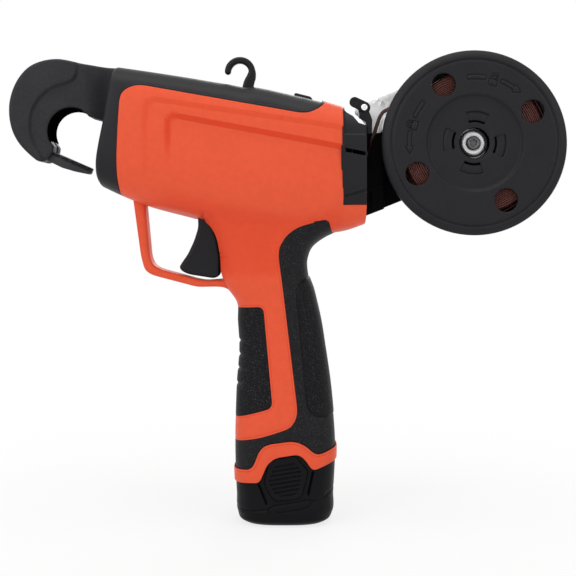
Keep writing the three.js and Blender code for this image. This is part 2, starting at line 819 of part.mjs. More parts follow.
// The two moulded shells
function shells() {
  const guardOutline = [
    ...placed(guardOuterShares, guardFrame),
    ...placed(guardInnerShares, guardFrame).reverse(),
  ];
  const guard = plate(guardOutline, -guardHalfWidth, guardHalfWidth);
  const rearGripBed = without(solid(through(rearGripRegion)), through(belowRimTop));
  const covered = joined(through(headRegion), through(collarRegion), through(frontGripRegion))
    .add(rearGripBed);
  const rim = column(-rimStand).intersect(solid(through(rimRegion)));
  let whole = outer.subtract(covered.subtract(bed)).add(solid(guard)).add(rim)
    .subtract(cavity).subtract(solid(through(belowRimLow))).add(ribs());
  whole = without(whole, tangRoom, headBore, buttonSlot, hangerSlot, footSlot, wireSlot, tower(fit))
    .subtract(triggerRoom());
  whole = without(
    whole,
    rod(
      triggerPivotX, triggerPivotZ, triggerPinRadius + fit,
      -triggerPinHalfLength - fit, triggerPinHalfLength + fit, smallSides,
    ),
    rod(
      cutterX, cutterZ, cutterPinRadius + fit,
      -cutterPinHalfLength - fit, cutterPinHalfLength + fit, smallSides,
    ),
  );
  for (const [along, up, side] of shellScrewShares) {
    const x = barrelFront + along * barrelLength;
    const z = barrelFoot + up * barrelHeight;
    const seat = side * barrelHalfWidth;
    whole = without(
      whole,
      rod(x, z, screwHead + fit, seat - fit, overrun, smallSides),
      rod(x, z, screwShank + fit, -screwReach - fit, overrun, smallSides),
    );
  }
  const half = (near, far) => solid(block(
    hookFront, spoolX, near, far, -overrun, barrelFoot + barrelHeight + overrun,
  ));
  piece(tool, "left_shell", whole.intersect(half(-overrun, -split / 2)), "orange");
  piece(tool, "right_shell", whole.intersect(half(split / 2, overrun)), "orange");
}

function shellScrews() {
  shellScrewShares.forEach(([along, up, side], i) => {
    const x = barrelFront + along * barrelLength;
    const z = barrelFoot + up * barrelHeight;
    const seat = side * barrelHalfWidth;
    const screw = joined(
      rod(x, z, screwHead, seat, seat + screwHeadDepth, smallSides),
      rod(x, z, screwShank, -screwReach, seat + screwHeadDepth / 2, smallSides),
    );
    piece(tool, `shell_screw_${i + 1}`, screw, "darkSteel");
  });
}

// Covers and rubber moulded or clipped over the shells
function skins() {
  const cover = (region) => outer.intersect(solid(through(grown(region, -fit)))).subtract(under);
  const head = without(cover(headRegion), tangRoom, headBore, buttonSlot, hangerSlot);
  piece(tool, "head_cover", head, "blackCover");
  const collar = without(cover(collarRegion), footSlot, wireSlot);
  piece(tool, "rear_collar", collar, "blackCover");
  piece(tool, "front_grip", cover(frontGripRegion), "rubber");
  const rear = without(cover(rearGripRegion), through(moved(belowRimTop, 0, fit)));
  piece(tool, "rear_grip", rear, "rubber");
}

// The hooked jaw: two cheeks with the wire channel between them
function hookOutline() {
  const arc = Array.from({ length: jawArcSteps }, (_, i) => {
    const a = radians(jawStartAngle + ((jawEndAngle - jawStartAngle) * i) / (jawArcSteps - 1));
    return [jawX + jawRadius * Math.cos(a), jawZ + jawRadius * Math.sin(a)];
  });
  const back = placed(hookBackShares, hookFrame);
  return [...back, ...arc, [tangBack, hookLowerLipZ], [tangBack, back[0][1]]];
}

function hook() {
  const ahead = through(moved(noseRegion, -fit, 0));
  const outline = hookOutline();
  const raised = through(placed(hookStepShares, hookFrame));
  const finger = hull([
    ...circle(gatePivotX, gatePivotZ, gateHubRadius + 2 * fit),
    ...circle(gateTipX, gateTipZ, gateTipRadius + 2 * fit),
  ]);
  const fingerRoom = [0, gateTravel / 2, gateTravel].map((angle) => (
    plate(turnedAbout(finger, gatePivotX, gatePivotZ, angle), -gateHalfWidth - fit, gateHalfWidth + fit)
  ));
  const pinBore = rod(
    gatePivotX, gatePivotZ, gatePinRadius + fit, -hookHalfWidth + wall, hookHalfWidth - wall, smallSides,
  );
  const tang = (near, far) => block(jawX / 2 + tangBack / 2, tangBack, near, far, tangFoot, tangTop);
  for (const [name, side] of [["hook_left_cheek", -1], ["hook_right_cheek", 1]]) {
    const span = (a, b) => [Math.min(side * a, side * b), Math.max(side * a, side * b)];
    const low = solid(plate(outline, ...span(channelHalfWidth + fit, hookHalfWidth - hookStep)));
    const high = solid(plate(outline, ...span(channelHalfWidth + fit, hookHalfWidth)))
      .intersect(solid(raised));
    const cheek = low.add(high).intersect(solid(ahead))
      .add(solid(tang(...span(channelHalfWidth + fit, hookHalfWidth - hookStep))));
    piece(tool, name, without(cheek, ...fingerRoom, pinBore), "hookPlastic");
  }
  const channel = grown(outline, -channelInset);
  const insert = solid(plate(channel, -channelHalfWidth, channelHalfWidth)).intersect(
    solid(ahead).add(solid(tang(-hookHalfWidth, hookHalfWidth))),
  );
  piece(tool, "hook_wire_channel", without(insert, ...fingerRoom), "steel");
  const gateShape = hull([
    ...circle(gatePivotX, gatePivotZ, gateHubRadius),
    ...circle(gateTipX, gateTipZ, gateTipRadius),
  ]);
  const springNotch = rod(
    gatePivotX, gatePivotZ, gateHubRadius + 3 * fit, gateHalfWidth / 2, gateHalfWidth + fit, smallSides,
  );
  const gate = without(
    solid(plate(gateShape, -gateHalfWidth, gateHalfWidth)),
    springNotch,
    rod(gatePivotX, gatePivotZ, gatePinRadius + fit, -hookHalfWidth, hookHalfWidth, smallSides),
  );
  piece(tool, "jaw_gate", gate, "hookPlastic");
  piece(tool, "gate_pin", rod(
    gatePivotX, gatePivotZ, gatePinRadius, -hookHalfWidth + wall + fit, hookHalfWidth - wall - fit, smallSides,
  ), "steel");
  piece(tool, "gate_spring", turned([
    [gatePinRadius + fit, gateHalfWidth / 2 + fit], [gateHubRadius - fit, gateHalfWidth / 2 + fit],
    [gateHubRadius - fit, gateHalfWidth - fit], [gatePinRadius + fit, gateHalfWidth - fit],
  ], gatePivotX, gatePivotZ, smallSides), "darkSteel");
}

// A toothed wheel about the drive's X axis
function toothed(teeth, start, end, height) {
  const tip = (teeth * toothModule) / 2 - fit / 2;
  const root = tip - toothDepth;
  const flanks = [[-toothRootShare, root], [-toothTipShare, tip], [toothTipShare, tip], [toothRootShare, root]];
  const points = Array.from({ length: teeth }, (_, i) => flanks.map(([share, radius]) => {
    const a = (2 * Math.PI * (i + share)) / teeth;
    return [radius * Math.cos(a), radius * Math.sin(a)];
  })).flat();
  const shape = new THREE.Shape(points.map(([a, b]) => new THREE.Vector2(a, b)));
  const geometry = new THREE.ExtrudeGeometry(shape, { depth: end - start, bevelEnabled: false });
  return geometry.rotateY(Math.PI / 2).translate(start, 0, height);
}

// The twisting drive behind the jaw
function twistDrive() {
  const headEnd = twistHeadStart + twistHeadLength;
  const gearEnd = gearStart + gearWidth;
  const pinionHeight = ((gearTeeth + pinionTeeth) * toothModule) / 2;
  const spindle = joined(
    driveRod(headEnd + fit, gearEnd + fit, spindleRadius),
    toothed(gearTeeth, gearStart, gearEnd, 0),
  );
  piece(drive, "twist_spindle", spindle, "darkSteel");
  const head = without(
    joined(driveRod(twistHeadStart, headEnd, twistHeadRadius)),
    block(
      twistHeadStart - wall, twistHeadStart + twistSlotDepth, -twistSlotWidth / 2, twistSlotWidth / 2,
      -overrun, overrun,
    ),
  );
  piece(drive, "twist_head", head, "steel");
  const bearings = [["front_bearing", frontBearingStart], ["rear_bearing", rearBearingStart]];
  for (const [name, start] of bearings) {
    const ring = without(
      joined(driveRod(start, start + bearingWidth, bearingRadius)),
      driveRod(start - wall, start + bearingWidth + wall, spindleRadius + fit),
    );
    piece(drive, name, ring, "steel");
  }
  const pinion = joined(
    toothed(pinionTeeth, gearStart, gearEnd, pinionHeight),
    driveRod(gearEnd - wall, motorStart + motorShaftSeat - fit, motorShaftRadius, pinionHeight, smallSides),
  );
  piece(drive, "motor_pinion", pinion, "brass");
  const can = without(
    joined(driveRod(motorStart, motorStart + motorLength, motorRadius, pinionHeight)),
    driveRod(
      motorStart - wall, motorStart + motorShaftSeat, motorShaftRadius + fit, pinionHeight, smallSides,
    ),
  );
  piece(drive, "twist_motor_can", can, "darkSteel");
}

// The wire feed: rollers, their motor, the guide tube and the cutter
function wireFeed() {
  const nip = wireThickness / 2 + fit / 3;
  const motorNear = feedMotorNear();
  const roller = joined(
    rod(feedX, feedMotorZ(), feedRollerRadius, feedY - rollerHalfWidth, feedY + rollerHalfWidth),
    rod(feedX, feedMotorZ(), feedShaftRadius, feedY, motorNear + motorShaftSeat - fit, smallSides),
  );
  piece(tool, "feed_roller", roller, "darkSteel");
  const motor = without(
    joined(rod(feedX, feedMotorZ(), feedMotorRadius, motorNear, motorNear + feedMotorLength)),
    rod(feedX, feedMotorZ(), feedShaftRadius + fit, motorNear - wall, motorNear + motorShaftSeat, smallSides),
  );
  piece(tool, "feed_motor", motor, "darkSteel");
  const pressure = rod(
    feedX, feedZ + nip + pressureRollerRadius, pressureRollerRadius,
    feedY - rollerHalfWidth, feedY + rollerHalfWidth,
  );
  piece(tool, "pressure_roller", pressure, "steel");
  const tube = joined(swept(tubeCurve(), circle(0, 0, tubeRadius, tubeSides), tubeSteps));
  piece(tool, "wire_tube", tube, "brass");
  const blade = without(
    joined(plate(hull([
      ...circle(cutterX, cutterZ, cutterHubRadius), ...circle(cutterTipX, cutterTipZ, cutterTipRadius),
    ]), -cutterHalfWidth, cutterHalfWidth)),
    rod(cutterX, cutterZ, cutterPinRadius + fit, -overrun, overrun, smallSides),
  );
  piece(tool, "cutter_blade", blade, "steel");
  piece(tool, "cutter_pin", rod(
    cutterX, cutterZ, cutterPinRadius, -cutterPinHalfLength, cutterPinHalfLength, smallSides,
  ), "steel");
}

// The trigger, its pin, spring and switch
function triggerGroup() {
  const shape = without(
    joined(plate(placed(triggerShares, triggerFrame), -triggerHalfWidth, triggerHalfWidth)),
    rod(triggerPivotX, triggerPivotZ, triggerPinRadius + fit, -overrun, overrun, smallSides),
  );
  piece(tool, "trigger", shape, "blackCover");
  piece(tool, "trigger_pin", rod(
    triggerPivotX, triggerPivotZ, triggerPinRadius, -triggerPinHalfLength, triggerPinHalfLength, smallSides,
  ), "steel");
  const back = triggerFront + triggerDepth;
  const sleeve = turned([
    [springRadius - springWire, back + fit], [springRadius, back + fit],
    [springRadius, switchFront - fit], [springRadius - springWire, switchFront - fit],
  ], 0, 0, smallSides).rotateZ(-Math.PI / 2).translate(0, 0, springZ);
  piece(tool, "trigger_spring", sleeve, "steel");
  piece(tool, "trigger_switch", block(
    switchFront, switchFront + switchLength, -switchHalfWidth, switchHalfWidth,
    switchFoot, switchFoot + switchHeight,
  ), "batteryPlastic");
}

// The power button and the hanging hook on top
function topParts() {
  const button = joined(
    block(
      buttonX - buttonHalfLength, buttonX + buttonHalfLength, -buttonHalfWidth, buttonHalfWidth,
      buttonFlangeTop - buttonFlangeThickness, buttonZ,
    ),
    block(
      buttonX - buttonHalfLength - buttonFlange, buttonX + buttonHalfLength + buttonFlange,
      -buttonHalfWidth - buttonFlange, buttonHalfWidth + buttonFlange,
      buttonFlangeTop - buttonFlangeThickness, buttonFlangeTop,
    ),
  );
  piece(tool, "power_button", button, "blackCover");
  piece(tool, "power_switch", powerSwitchBlock(0), "batteryPlastic");
  const arc = (radius, from, to) => Array.from({ length: bowSteps + 1 }, (_, i) => {
    const a = radians(from + ((to - from) * i) / bowSteps);
    return [hangerX + radius * Math.cos(a), hangerZ + radius * Math.sin(a)];
  });
  const outside = hangerRadius + hangerThickness / 2;
  const inside = hangerRadius - hangerThickness / 2;
  const left = hangerStemX - hangerStemWidth / 2;
  const right = hangerStemX + hangerStemWidth / 2;
  const bow = [
    ...arc(outside, hangerTipAngle, hangerNeckAngle), [right, hangerStemZ], [left, hangerStemZ],
    ...arc(inside, hangerCrookAngle, hangerTipAngle),
  ];
  const hanger = joined(
    plate(bow, -hangerHalfWidth, hangerHalfWidth),
    block(left, right, -hangerHalfWidth, hangerHalfWidth, hangerFootZ, hangerStemZ + fit),
    hangerFoot(0),
  );
  piece(tool, "hanging_hook", hanger, "hookPlastic");
}

// Circuit board and terminal block in the handle
function electronics() {
  piece(tool, "circuit_board", block(
    boardX - boardThickness / 2, boardX + boardThickness / 2, -boardHalfWidth, boardHalfWidth,
    boardFoot, boardFoot + boardHeight,
  ), "board");
  piece(tool, "terminal_block", block(
    terminalFront, terminalFront + terminalLength, -terminalHalfWidth, terminalHalfWidth,
    terminalFoot, terminalFoot + terminalHeight,
  ), "batteryPlastic");
}

const cells = [[cellPairX, cellPairY], [cellPairX, -cellPairY], [cellFrontX, 0]];

// The battery's tower round its cells, with room round it
function tower(room) {
  const radius = cellRadius + fit + towerWall + room;
  const plan = hull(cells.flatMap(([x, y]) => circle(x, y, radius, windowSides)));
  const shape = new THREE.Shape(plan.map(([x, y]) => new THREE.Vector2(x, y)));
  const geometry = new THREE.ExtrudeGeometry(shape, {
    depth: towerTop + room - padFoot, bevelEnabled: false,
  });
  return geometry.translate(0, 0, padFoot);
}

// The clip-in battery: case, three cells and two latch tabs
function battery() {
  const upright = (x, y, radius, low, high) => (
    new THREE.CylinderGeometry(radius, radius, high - low, roundSides)
      .rotateX(Math.PI / 2).translate(x, y, (low + high) / 2)
  );
  const pad = placed(latchPadShares, padFrame);
  const pocket = grown(pad, 2 * fit);
  const pocketFloor = padFace - padThickness - padRoom;
  const below = solid(through(moved(belowRimLow, 0, -fit)));
  const padBelow = solid(through(moved(belowRimLow, 0, -2 * fit)));
  const lower = without(
    column(0).intersect(below),
    plate(pocket, -overrun, -pocketFloor),
    plate(pocket, pocketFloor, overrun),
  );
  const walled = without(
    lower.add(solid(tower(0))),
    ...cells.map(([x, y]) => upright(x, y, cellRadius + fit, cellFloor, towerTop + wall)),
  );
  piece(tool, "battery_case", walled, "batteryPlastic");
  cells.forEach(([x, y], i) => {
    const cell = upright(x, y, cellRadius, cellFloor + fit, cellFloor + cellLength);
    piece(tool, `battery_cell_${i + 1}`, cell, "cell");
  });
  const tab = (near, far) => joined(plate(pad, near, far)).intersect(padBelow);
  piece(tool, "latch_tab_left", tab(-padFace, -padFace + padThickness), "batteryPlastic");
  piece(tool, "latch_tab_right", tab(padFace - padThickness, padFace), "batteryPlastic");
}

// The arm that carries the spool, with the plate, axle and tension lever on it
function spoolCarrier() {
  const armBack = armFront + armDepth;
  const armBlock = block(armFront, armBack, armNear, armFar, armFoot, armTop);
  const armPlate = plate(hull([
    [armFront, armFoot], [armFront, armTop], ...circle(spoolX, spoolZ, armBossRadius),
  ]), armPlateNear, armFar);
  const foot = block(footFront, armFront + wall, footNear, footFar, footLow, footHigh);
  const lip = block(
    footFront, footBack, footNear - footLip + fit, footFar + footLip,
    footLow - footLip, footHigh + footLip,
  );
  const axleBore = rod(spoolX, spoolZ, hubBore, -overrun, overrun);
  piece(tool, "carrier_arm", without(joined(armBlock, armPlate, foot, lip), axleBore), "batteryPlastic");
  const sidePlateFar = sidePlateNear + sidePlateThickness;
  const sheet = plate(hull([
    ...circle(spoolX, spoolZ, sidePlateRadius, wideSides),
    ...circle(leverX, leverZ, sidePlateCorner),
  ]), sidePlateNear, sidePlateFar);
  const postNear = leverNear + leverThickness + fit;
  const post = rod(leverX, leverZ, leverPostRadius, postNear, sidePlateFar - fit);
  const guideTop = placed(guideShares, barrelFrame);
  const guideLine = [...guideTop, ...grownLine(guideTop, guideThickness).reverse()];
  const guide = plate(guideLine, guideNear, sidePlateFar - fit);
  const plateSolid = without(
    joined(sheet, post, guide), axleBore,
    rod(leverX, leverZ, leverScrewRadius + fit, -overrun, postNear + screwShankLength, smallSides),
  );
  piece(tool, "side_plate", plateSolid, "steel");
  const axle = without(
    joined(
      rod(spoolX, spoolZ, hubBore - fit, hubFace, sidePlateFar + fit),
      rod(spoolX, spoolZ, axleCollarRadius, flangeFace + flangeThickness + fit, armPlateNear - fit),
      rod(
        spoolX, spoolZ, axleHeadRadius, sidePlateFar + fit, sidePlateFar + fit + axleHeadThickness,
      ),
    ),
    rod(spoolX, spoolZ, screwShankRadius + fit, hubFace - wall, hubFace + screwShankLength, smallSides),
  );
  piece(tool, "spool_axle", axle, "steel");
  const arm = plate(placed(leverArmShares, leverFrame), leverNear, leverNear + leverThickness);
  const tab = plate(hull([
    ...circle(leverX, leverZ, leverHubRadius), ...circle(leverTabX, leverTabZ, leverTabRadius),
  ]), leverNear, leverNear + leverThickness);
  const lever = without(
    joined(arm, tab), rod(leverX, leverZ, leverScrewRadius + fit, -overrun, overrun, smallSides),
  );
  piece(tool, "tension_lever", lever, "blackCover");
  const screwFace = leverNear - fit;
  piece(tool, "lever_screw", joined(
    rod(leverX, leverZ, leverScrewHeadRadius, screwFace - leverScrewHeadHeight, screwFace),
    rod(leverX, leverZ, leverScrewRadius, screwFace - fit, postNear + screwShankLength - fit, smallSides),
  ), "steel");
}

// An open line moved sideways by a distance, to the right of its direction.
function grownLine(points, distance) {
  return points.map((p, i) => {
    const a = points[Math.max(0, i - 1)];
    const b = points[Math.min(points.length - 1, i + 1)];
    const length = Math.hypot(b[0] - a[0], b[1] - a[1]);
    return [p[0] - ((b[1] - a[1]) / length) * distance, p[1] + ((b[0] - a[0]) / length) * distance];
  });
}

// The spool: backing flange with its hub, bobbin, wound wire, and the twist-on cover
function spool() {
  const at = (profile, sides) => turned(profile, spoolX, spoolZ, sides);
  const flangeBack = flangeFace + flangeThickness;
  const ring = (name, inside, outside, near, far, finish, sides) => {
    piece(tool, name, at([[inside, near], [outside, near], [outside, far], [inside, far]], sides), finish);
  };
  piece(tool, "backing_flange", at([
    [hubBore, hubFace + fit], [hubRadius, hubFace + fit], [hubRadius, flangeFace],
    [flangeRadius, flangeFace], [flangeRadius, flangeBack], [hubBore, flangeBack],
  ], wideSides), "steel");
  const bobbinNear = coverFace + coverThickness + fit;
  const bobbinFar = flangeFace - fit;
  ring("bobbin_core", hubRadius + fit, bobbinRadius, bobbinNear, bobbinFar, "whiteNylon", roundSides);
  const packRadius = windingRadius - wireThickness / 2 - 2 * fit;
  ring("wire_winding", bobbinRadius + fit, packRadius, bobbinNear + fit, bobbinFar - fit, "wire", wideSides);
  outerTurns(bobbinFar - fit);
  const skirtEnd = coverFace + coverSkirt;
  const dishSide = coverDishRadius + coverDishDepth;
  const skirtInner = coverRadius - coverBevel;
  let cover = joined(at([
    [hubRadius + fit, coverFace + coverDishDepth], [coverDishRadius, coverFace + coverDishDepth],
    [dishSide, coverFace], [coverRadius - coverBevel, coverFace],
    [coverRadius, coverFace + coverBevelDepth], [coverRadius, skirtEnd], [skirtInner, skirtEnd],
    [skirtInner, coverFace + coverThickness], [hubRadius + fit, coverFace + coverThickness],
  ], wideSides));
  const round = (angle, radius) => [
    spoolX + radius * Math.cos(radians(angle)), spoolZ + radius * Math.sin(radians(angle)),
  ];
  for (let i = 0; i < windowCount; i++) {
    const turn = (i * 360) / windowCount;
    const [x, z] = round(windowAngle + turn, windowRing);
    const sweep = THREE.MathUtils.radToDeg((slotLength - slotWidth) / slotRing) / 2;
    const slot = hull([-sweep, 0, sweep].flatMap((offset) => (
      circle(...round(slotAngle + turn + offset, slotRing), slotWidth / 2, slotSides)
    )));
    cover = without(
      cover, rod(x, z, windowRadius, coverFace - wall, skirtEnd, windowSides),
      plate(slot, coverFace - wall, skirtEnd),
    );
  }
  piece(tool, "spool_cover", cover, "blackCover");
  const washerFace = hubFace - fit - washerThickness;
  ring(
    "axle_washer", screwShankRadius + fit, washerRadius, washerFace, hubFace - fit,
    "whiteNylon", roundSides,
  );
  const headBack = washerFace - fit;
  piece(tool, "axle_screw", joined(
    rod(spoolX, spoolZ, screwHeadRadius, headBack - screwHeadHeight, headBack, roundSides),
    rod(spoolX, spoolZ, screwShankRadius, headBack - fit, hubFace + screwShankLength - fit, smallSides),
  ), "darkSteel");
}

// The outer layer of the winding: one unbroken flat wire in a helix, straight at both ends.
// Its least gap to itself is measured between the turns' near and far edges, and printed.
function outerTurns(farEdge) {
  const stations = [];
  const total = windingTurns * windingSteps;
  const straight = wireWidth;
  for (let i = 0; i <= total; i++) {
    const angle = radians(windingEndAngle - (360 * (i - total)) / windingSteps);
    const y = farEdge - wireWidth / 2 - (windingPitch * i) / windingSteps;
    stations.push({ angle, y, along: 0 });
  }
  stations.unshift({ ...stations[0], along: straight });
  stations.push({ ...stations.at(-1), along: -straight });
  const section = [
    [-wireThickness / 2, -wireWidth / 4], [-wireThickness / 2, wireWidth / 4], [0, wireWidth / 2],
    [wireThickness / 2, wireWidth / 4], [wireThickness / 2, -wireWidth / 4], [0, -wireWidth / 2],
  ];
  const rings = stations.map(({ angle, y, along }) => section.map(([out, across]) => {
    const radius = windingRadius + out;
    return [
      spoolX + radius * Math.cos(angle) + along * Math.sin(angle),
      y + across,
      spoolZ + radius * Math.sin(angle) - along * Math.cos(angle),
    ];
  }));
  let least = Infinity;
  for (let i = 0; i + windingSteps < rings.length; i++) {
    for (const p of rings[i]) {
      for (const q of rings[i + windingSteps]) {
        least = Math.min(least, Math.hypot(p[0] - q[0], p[1] - q[1], p[2] - q[2]));
      }
    }
  }
  console.log(`least gap between the winding's turns: ${least.toFixed(2)} mm`);
  piece(tool, "wire_outer_turns", solid(loft(rings)), "wire");
}

// The free stretch of wire from the winding, over the guide, into the body
function feedWire() {
  const last = feedWireShares.length - 1;
  const start = spoolWireY();
  const points = feedWireShares.map(([along, up], i) => new THREE.Vector3(
    barrelFront + along * barrelLength,
    start + (feedY - start) * Math.min(1, (wireDriftShare * i) / last),
    barrelFoot + up * barrelHeight,
  ));
  const curve = new THREE.CatmullRomCurve3(points);
  const half = wireWidth / 2;
  const thin = wireThickness / 2;
  const section = [
    [-half, -thin / 2], [-half, thin / 2], [-half / 2, thin], [half / 2, thin],
    [half, thin / 2], [half, -thin / 2], [half / 2, -thin], [-half / 2, -thin],
  ];
  piece(tool, "feed_wire", joined(swept(curve, section, roundSides)), "wire");
}

function spoolWireY() {
  return coverFace + coverThickness + wireWidth;
}

shells();
shellScrews();
skins();
hook();
twistDrive();
wireFeed();
triggerGroup();
topParts();
electronics();
battery();
spoolCarrier();
spool();
feedWire();

export default tool;
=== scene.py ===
import math

import bmesh
import bpy
import numpy as np
from mathutils.geometry import delaunay_2d_cdt
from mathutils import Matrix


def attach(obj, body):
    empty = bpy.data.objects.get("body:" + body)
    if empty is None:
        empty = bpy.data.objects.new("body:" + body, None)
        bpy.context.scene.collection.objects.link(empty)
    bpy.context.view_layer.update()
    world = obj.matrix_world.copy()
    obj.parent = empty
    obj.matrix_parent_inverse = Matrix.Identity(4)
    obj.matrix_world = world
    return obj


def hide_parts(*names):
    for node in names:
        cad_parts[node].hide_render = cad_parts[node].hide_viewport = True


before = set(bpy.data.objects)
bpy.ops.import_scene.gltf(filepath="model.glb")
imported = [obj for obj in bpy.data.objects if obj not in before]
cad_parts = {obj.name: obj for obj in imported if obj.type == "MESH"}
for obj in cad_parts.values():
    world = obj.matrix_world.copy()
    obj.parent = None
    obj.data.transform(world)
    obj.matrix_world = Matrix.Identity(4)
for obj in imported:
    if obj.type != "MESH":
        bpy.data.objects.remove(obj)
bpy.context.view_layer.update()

# The studio. The camera stands square to the tool's left side, 0.7 m away and level with the top
# of its handle, and its lens is shifted so that the whole tool fits the frame.
MM = 0.001
CAMERA_DISTANCE = 0.7
CAMERA_LEVEL = 188.84 * MM
FOCAL_LENGTH = 69.44
LENS_SHIFT = -0.1215
camera_data = bpy.data.cameras.new("side_camera")
camera_data.sensor_width = 36.0
camera_data.lens = FOCAL_LENGTH
camera_data.shift_y = LENS_SHIFT
camera_data.clip_start = 0.01
camera_data.clip_end = 50.0
camera = bpy.data.objects.new("side_camera", camera_data)
camera.location = (0.0, -CAMERA_DISTANCE, CAMERA_LEVEL)
camera.rotation_euler = (math.radians(90), 0.0, 0.0)
bpy.context.scene.collection.objects.link(camera)
bpy.context.scene.camera = camera
bpy.context.scene.view_settings.view_transform = "Standard"


class Shade:
    """A value in a node tree. Arithmetic on it adds Math nodes; any other node comes from node()."""

    def __init__(self, tree, socket=None):
        self.tree = tree
        self.socket = socket

    def node(self, kind, values=None, settings=None, out=0):
        made = self.tree.nodes.new(kind)
        for setting, value in (settings or {}).items():
            setattr(made, setting, value)
        for socket, value in (values or {}).items():
            if isinstance(value, Shade):
                self.tree.links.new(value.socket, made.inputs[socket])
            else:
                made.inputs[socket].default_value = value
        return Shade(self.tree, made.outputs[out] if len(made.outputs) else None)

    def maths(self, operation, *values):
        sockets = dict(enumerate(values))
        return self.node("ShaderNodeMath", sockets, {"operation": operation})

    def __add__(self, other):
        return self.maths("ADD", self, other)

    def __mul__(self, other):
        return self.maths("MULTIPLY", self, other)

    __radd__ = __add__
    __rmul__ = __mul__

    def between(self, low, high):
        """0 up to low, 1 from high on, and a smooth rise between them."""
        values = {"Value": self, "From Min": low, "From Max": high}
        return self.node("ShaderNodeMapRange", values, {"interpolation_type": "SMOOTHSTEP"})

    def blend(self, first, second):
        """The first colour where this value is 0, the second where it is 1."""
        values = {0: self, 6: first, 7: second}
        return self.node("ShaderNodeMix", values, {"data_type": "RGBA"}, out=2)


def emptied(holder):
    """The node tree of a world or a material, with nothing left in it."""
    holder.use_nodes = True
    holder.node_tree.nodes.clear()
    return Shade(holder.node_tree)


# The room is plain white all round, and only its light on the tool is held lower than what the
# camera and the glossy finishes see of it.
ROOM_LIGHT = 0.50
WHITE = (1, 1, 1, 1)
room = bpy.data.worlds.new("studio_room")
bpy.context.scene.world = room
air = emptied(room)
seen = air.node("ShaderNodeLightPath", out="Is Camera Ray")
mirrored = air.node("ShaderNodeLightPath", out="Is Glossy Ray")
passed = air.node("ShaderNodeLightPath", out="Is Transmission Ray")
shown = seen.maths("MAXIMUM", seen, seen.maths("MAXIMUM", mirrored, passed))
strength = ROOM_LIGHT + shown * (1 - ROOM_LIGHT)
sky = air.node("ShaderNodeBackground", {"Color": WHITE, "Strength": strength})
air.node("ShaderNodeOutputWorld", {"Surface": sky})

# Soft lamps: a long one over the tool, a broad one from the camera's left, a weaker one on the
# right and one behind, so that plastic edges along the top carry a thin highlight. Each row gives
# the lamp's place in metres, its turn in degrees, its two sizes and its power in watts.
for lamp_name, place, turn, size, power in (
    ("top_lamp", (-0.10, -0.25, 1.25), (-12, -4, 0), (1.3, 0.7), 7.0),
    ("left_lamp", (-0.95, -1.15, 0.75), (62, 0, -40), (0.8, 0.8), 5.6),
    ("right_lamp", (1.10, -0.95, 0.55), (68, 0, 50), (0.7, 0.7), 2.4),
    ("back_lamp", (0.35, 1.10, 0.70), (-62, 0, -18), (0.9, 0.7), 5.0),
):
    lamp = bpy.data.lights.new(lamp_name, "AREA")
    lamp.shape = "RECTANGLE"
    lamp.size, lamp.size_y = size
    lamp.energy = power
    holder = bpy.data.objects.new(lamp_name, lamp)
    holder.location = place
    holder.rotation_euler = [math.radians(angle) for angle in turn]
    bpy.context.scene.collection.objects.link(holder)

# The floor is a white sheet. Seen straight it is lifted towards plain white, and keeps the soft
# shadow at the battery's foot.
FLOOR_REACH = 6.0
FLOOR_LEVEL = -0.2 * MM
NEAR_GLOW = 0.78
MIRRORED_GLOW = 0.5
SHADOW_FROM, SHADOW_TO = 0.08, 0.40
floor_mesh = bpy.data.meshes.new("studio_floor")
corners = [(-FLOOR_REACH, -FLOOR_REACH), (FLOOR_REACH, -FLOOR_REACH),
           (FLOOR_REACH, FLOOR_REACH), (-FLOOR_REACH, FLOOR_REACH)]
floor_mesh.from_pydata([(x, y, FLOOR_LEVEL) for x, y in corners], [], [range(4)])
floor = bpy.data.objects.new("studio_floor", floor_mesh)
bpy.context.scene.collection.objects.link(floor)
paper = bpy.data.materials.new("floor_paper")
sheet = emptied(paper)
sheet_seen = sheet.node("ShaderNodeLightPath", out="Is Camera Ray")
sheet_mirrored = sheet.node("ShaderNodeLightPath", out="Is Glossy Ray")
sheet_place = sheet.node("ShaderNodeTexCoord", out="Object")
away = sheet.node("ShaderNodeVectorMath", {0: sheet_place}, {"operation": "LENGTH"}, out="Value")
clear = away.between(SHADOW_FROM, SHADOW_TO)
straight = sheet_seen * (NEAR_GLOW + clear * (1 - NEAR_GLOW))
lifted = sheet.maths("MAXIMUM", straight, sheet_mirrored * MIRRORED_GLOW)
white_glow = sheet.node("ShaderNodeEmission", {"Color": WHITE, "Strength": 1.0})
white_sheet = sheet.node("ShaderNodeBsdfDiffuse", {"Color": (0.86, 0.86, 0.86, 1)})
floor_mix = sheet.node("ShaderNodeMixShader", {0: lifted, 1: white_sheet, 2: white_glow})
sheet.node("ShaderNodeOutputMaterial", {"Surface": floor_mix})
floor_mesh.materials.append(paper)

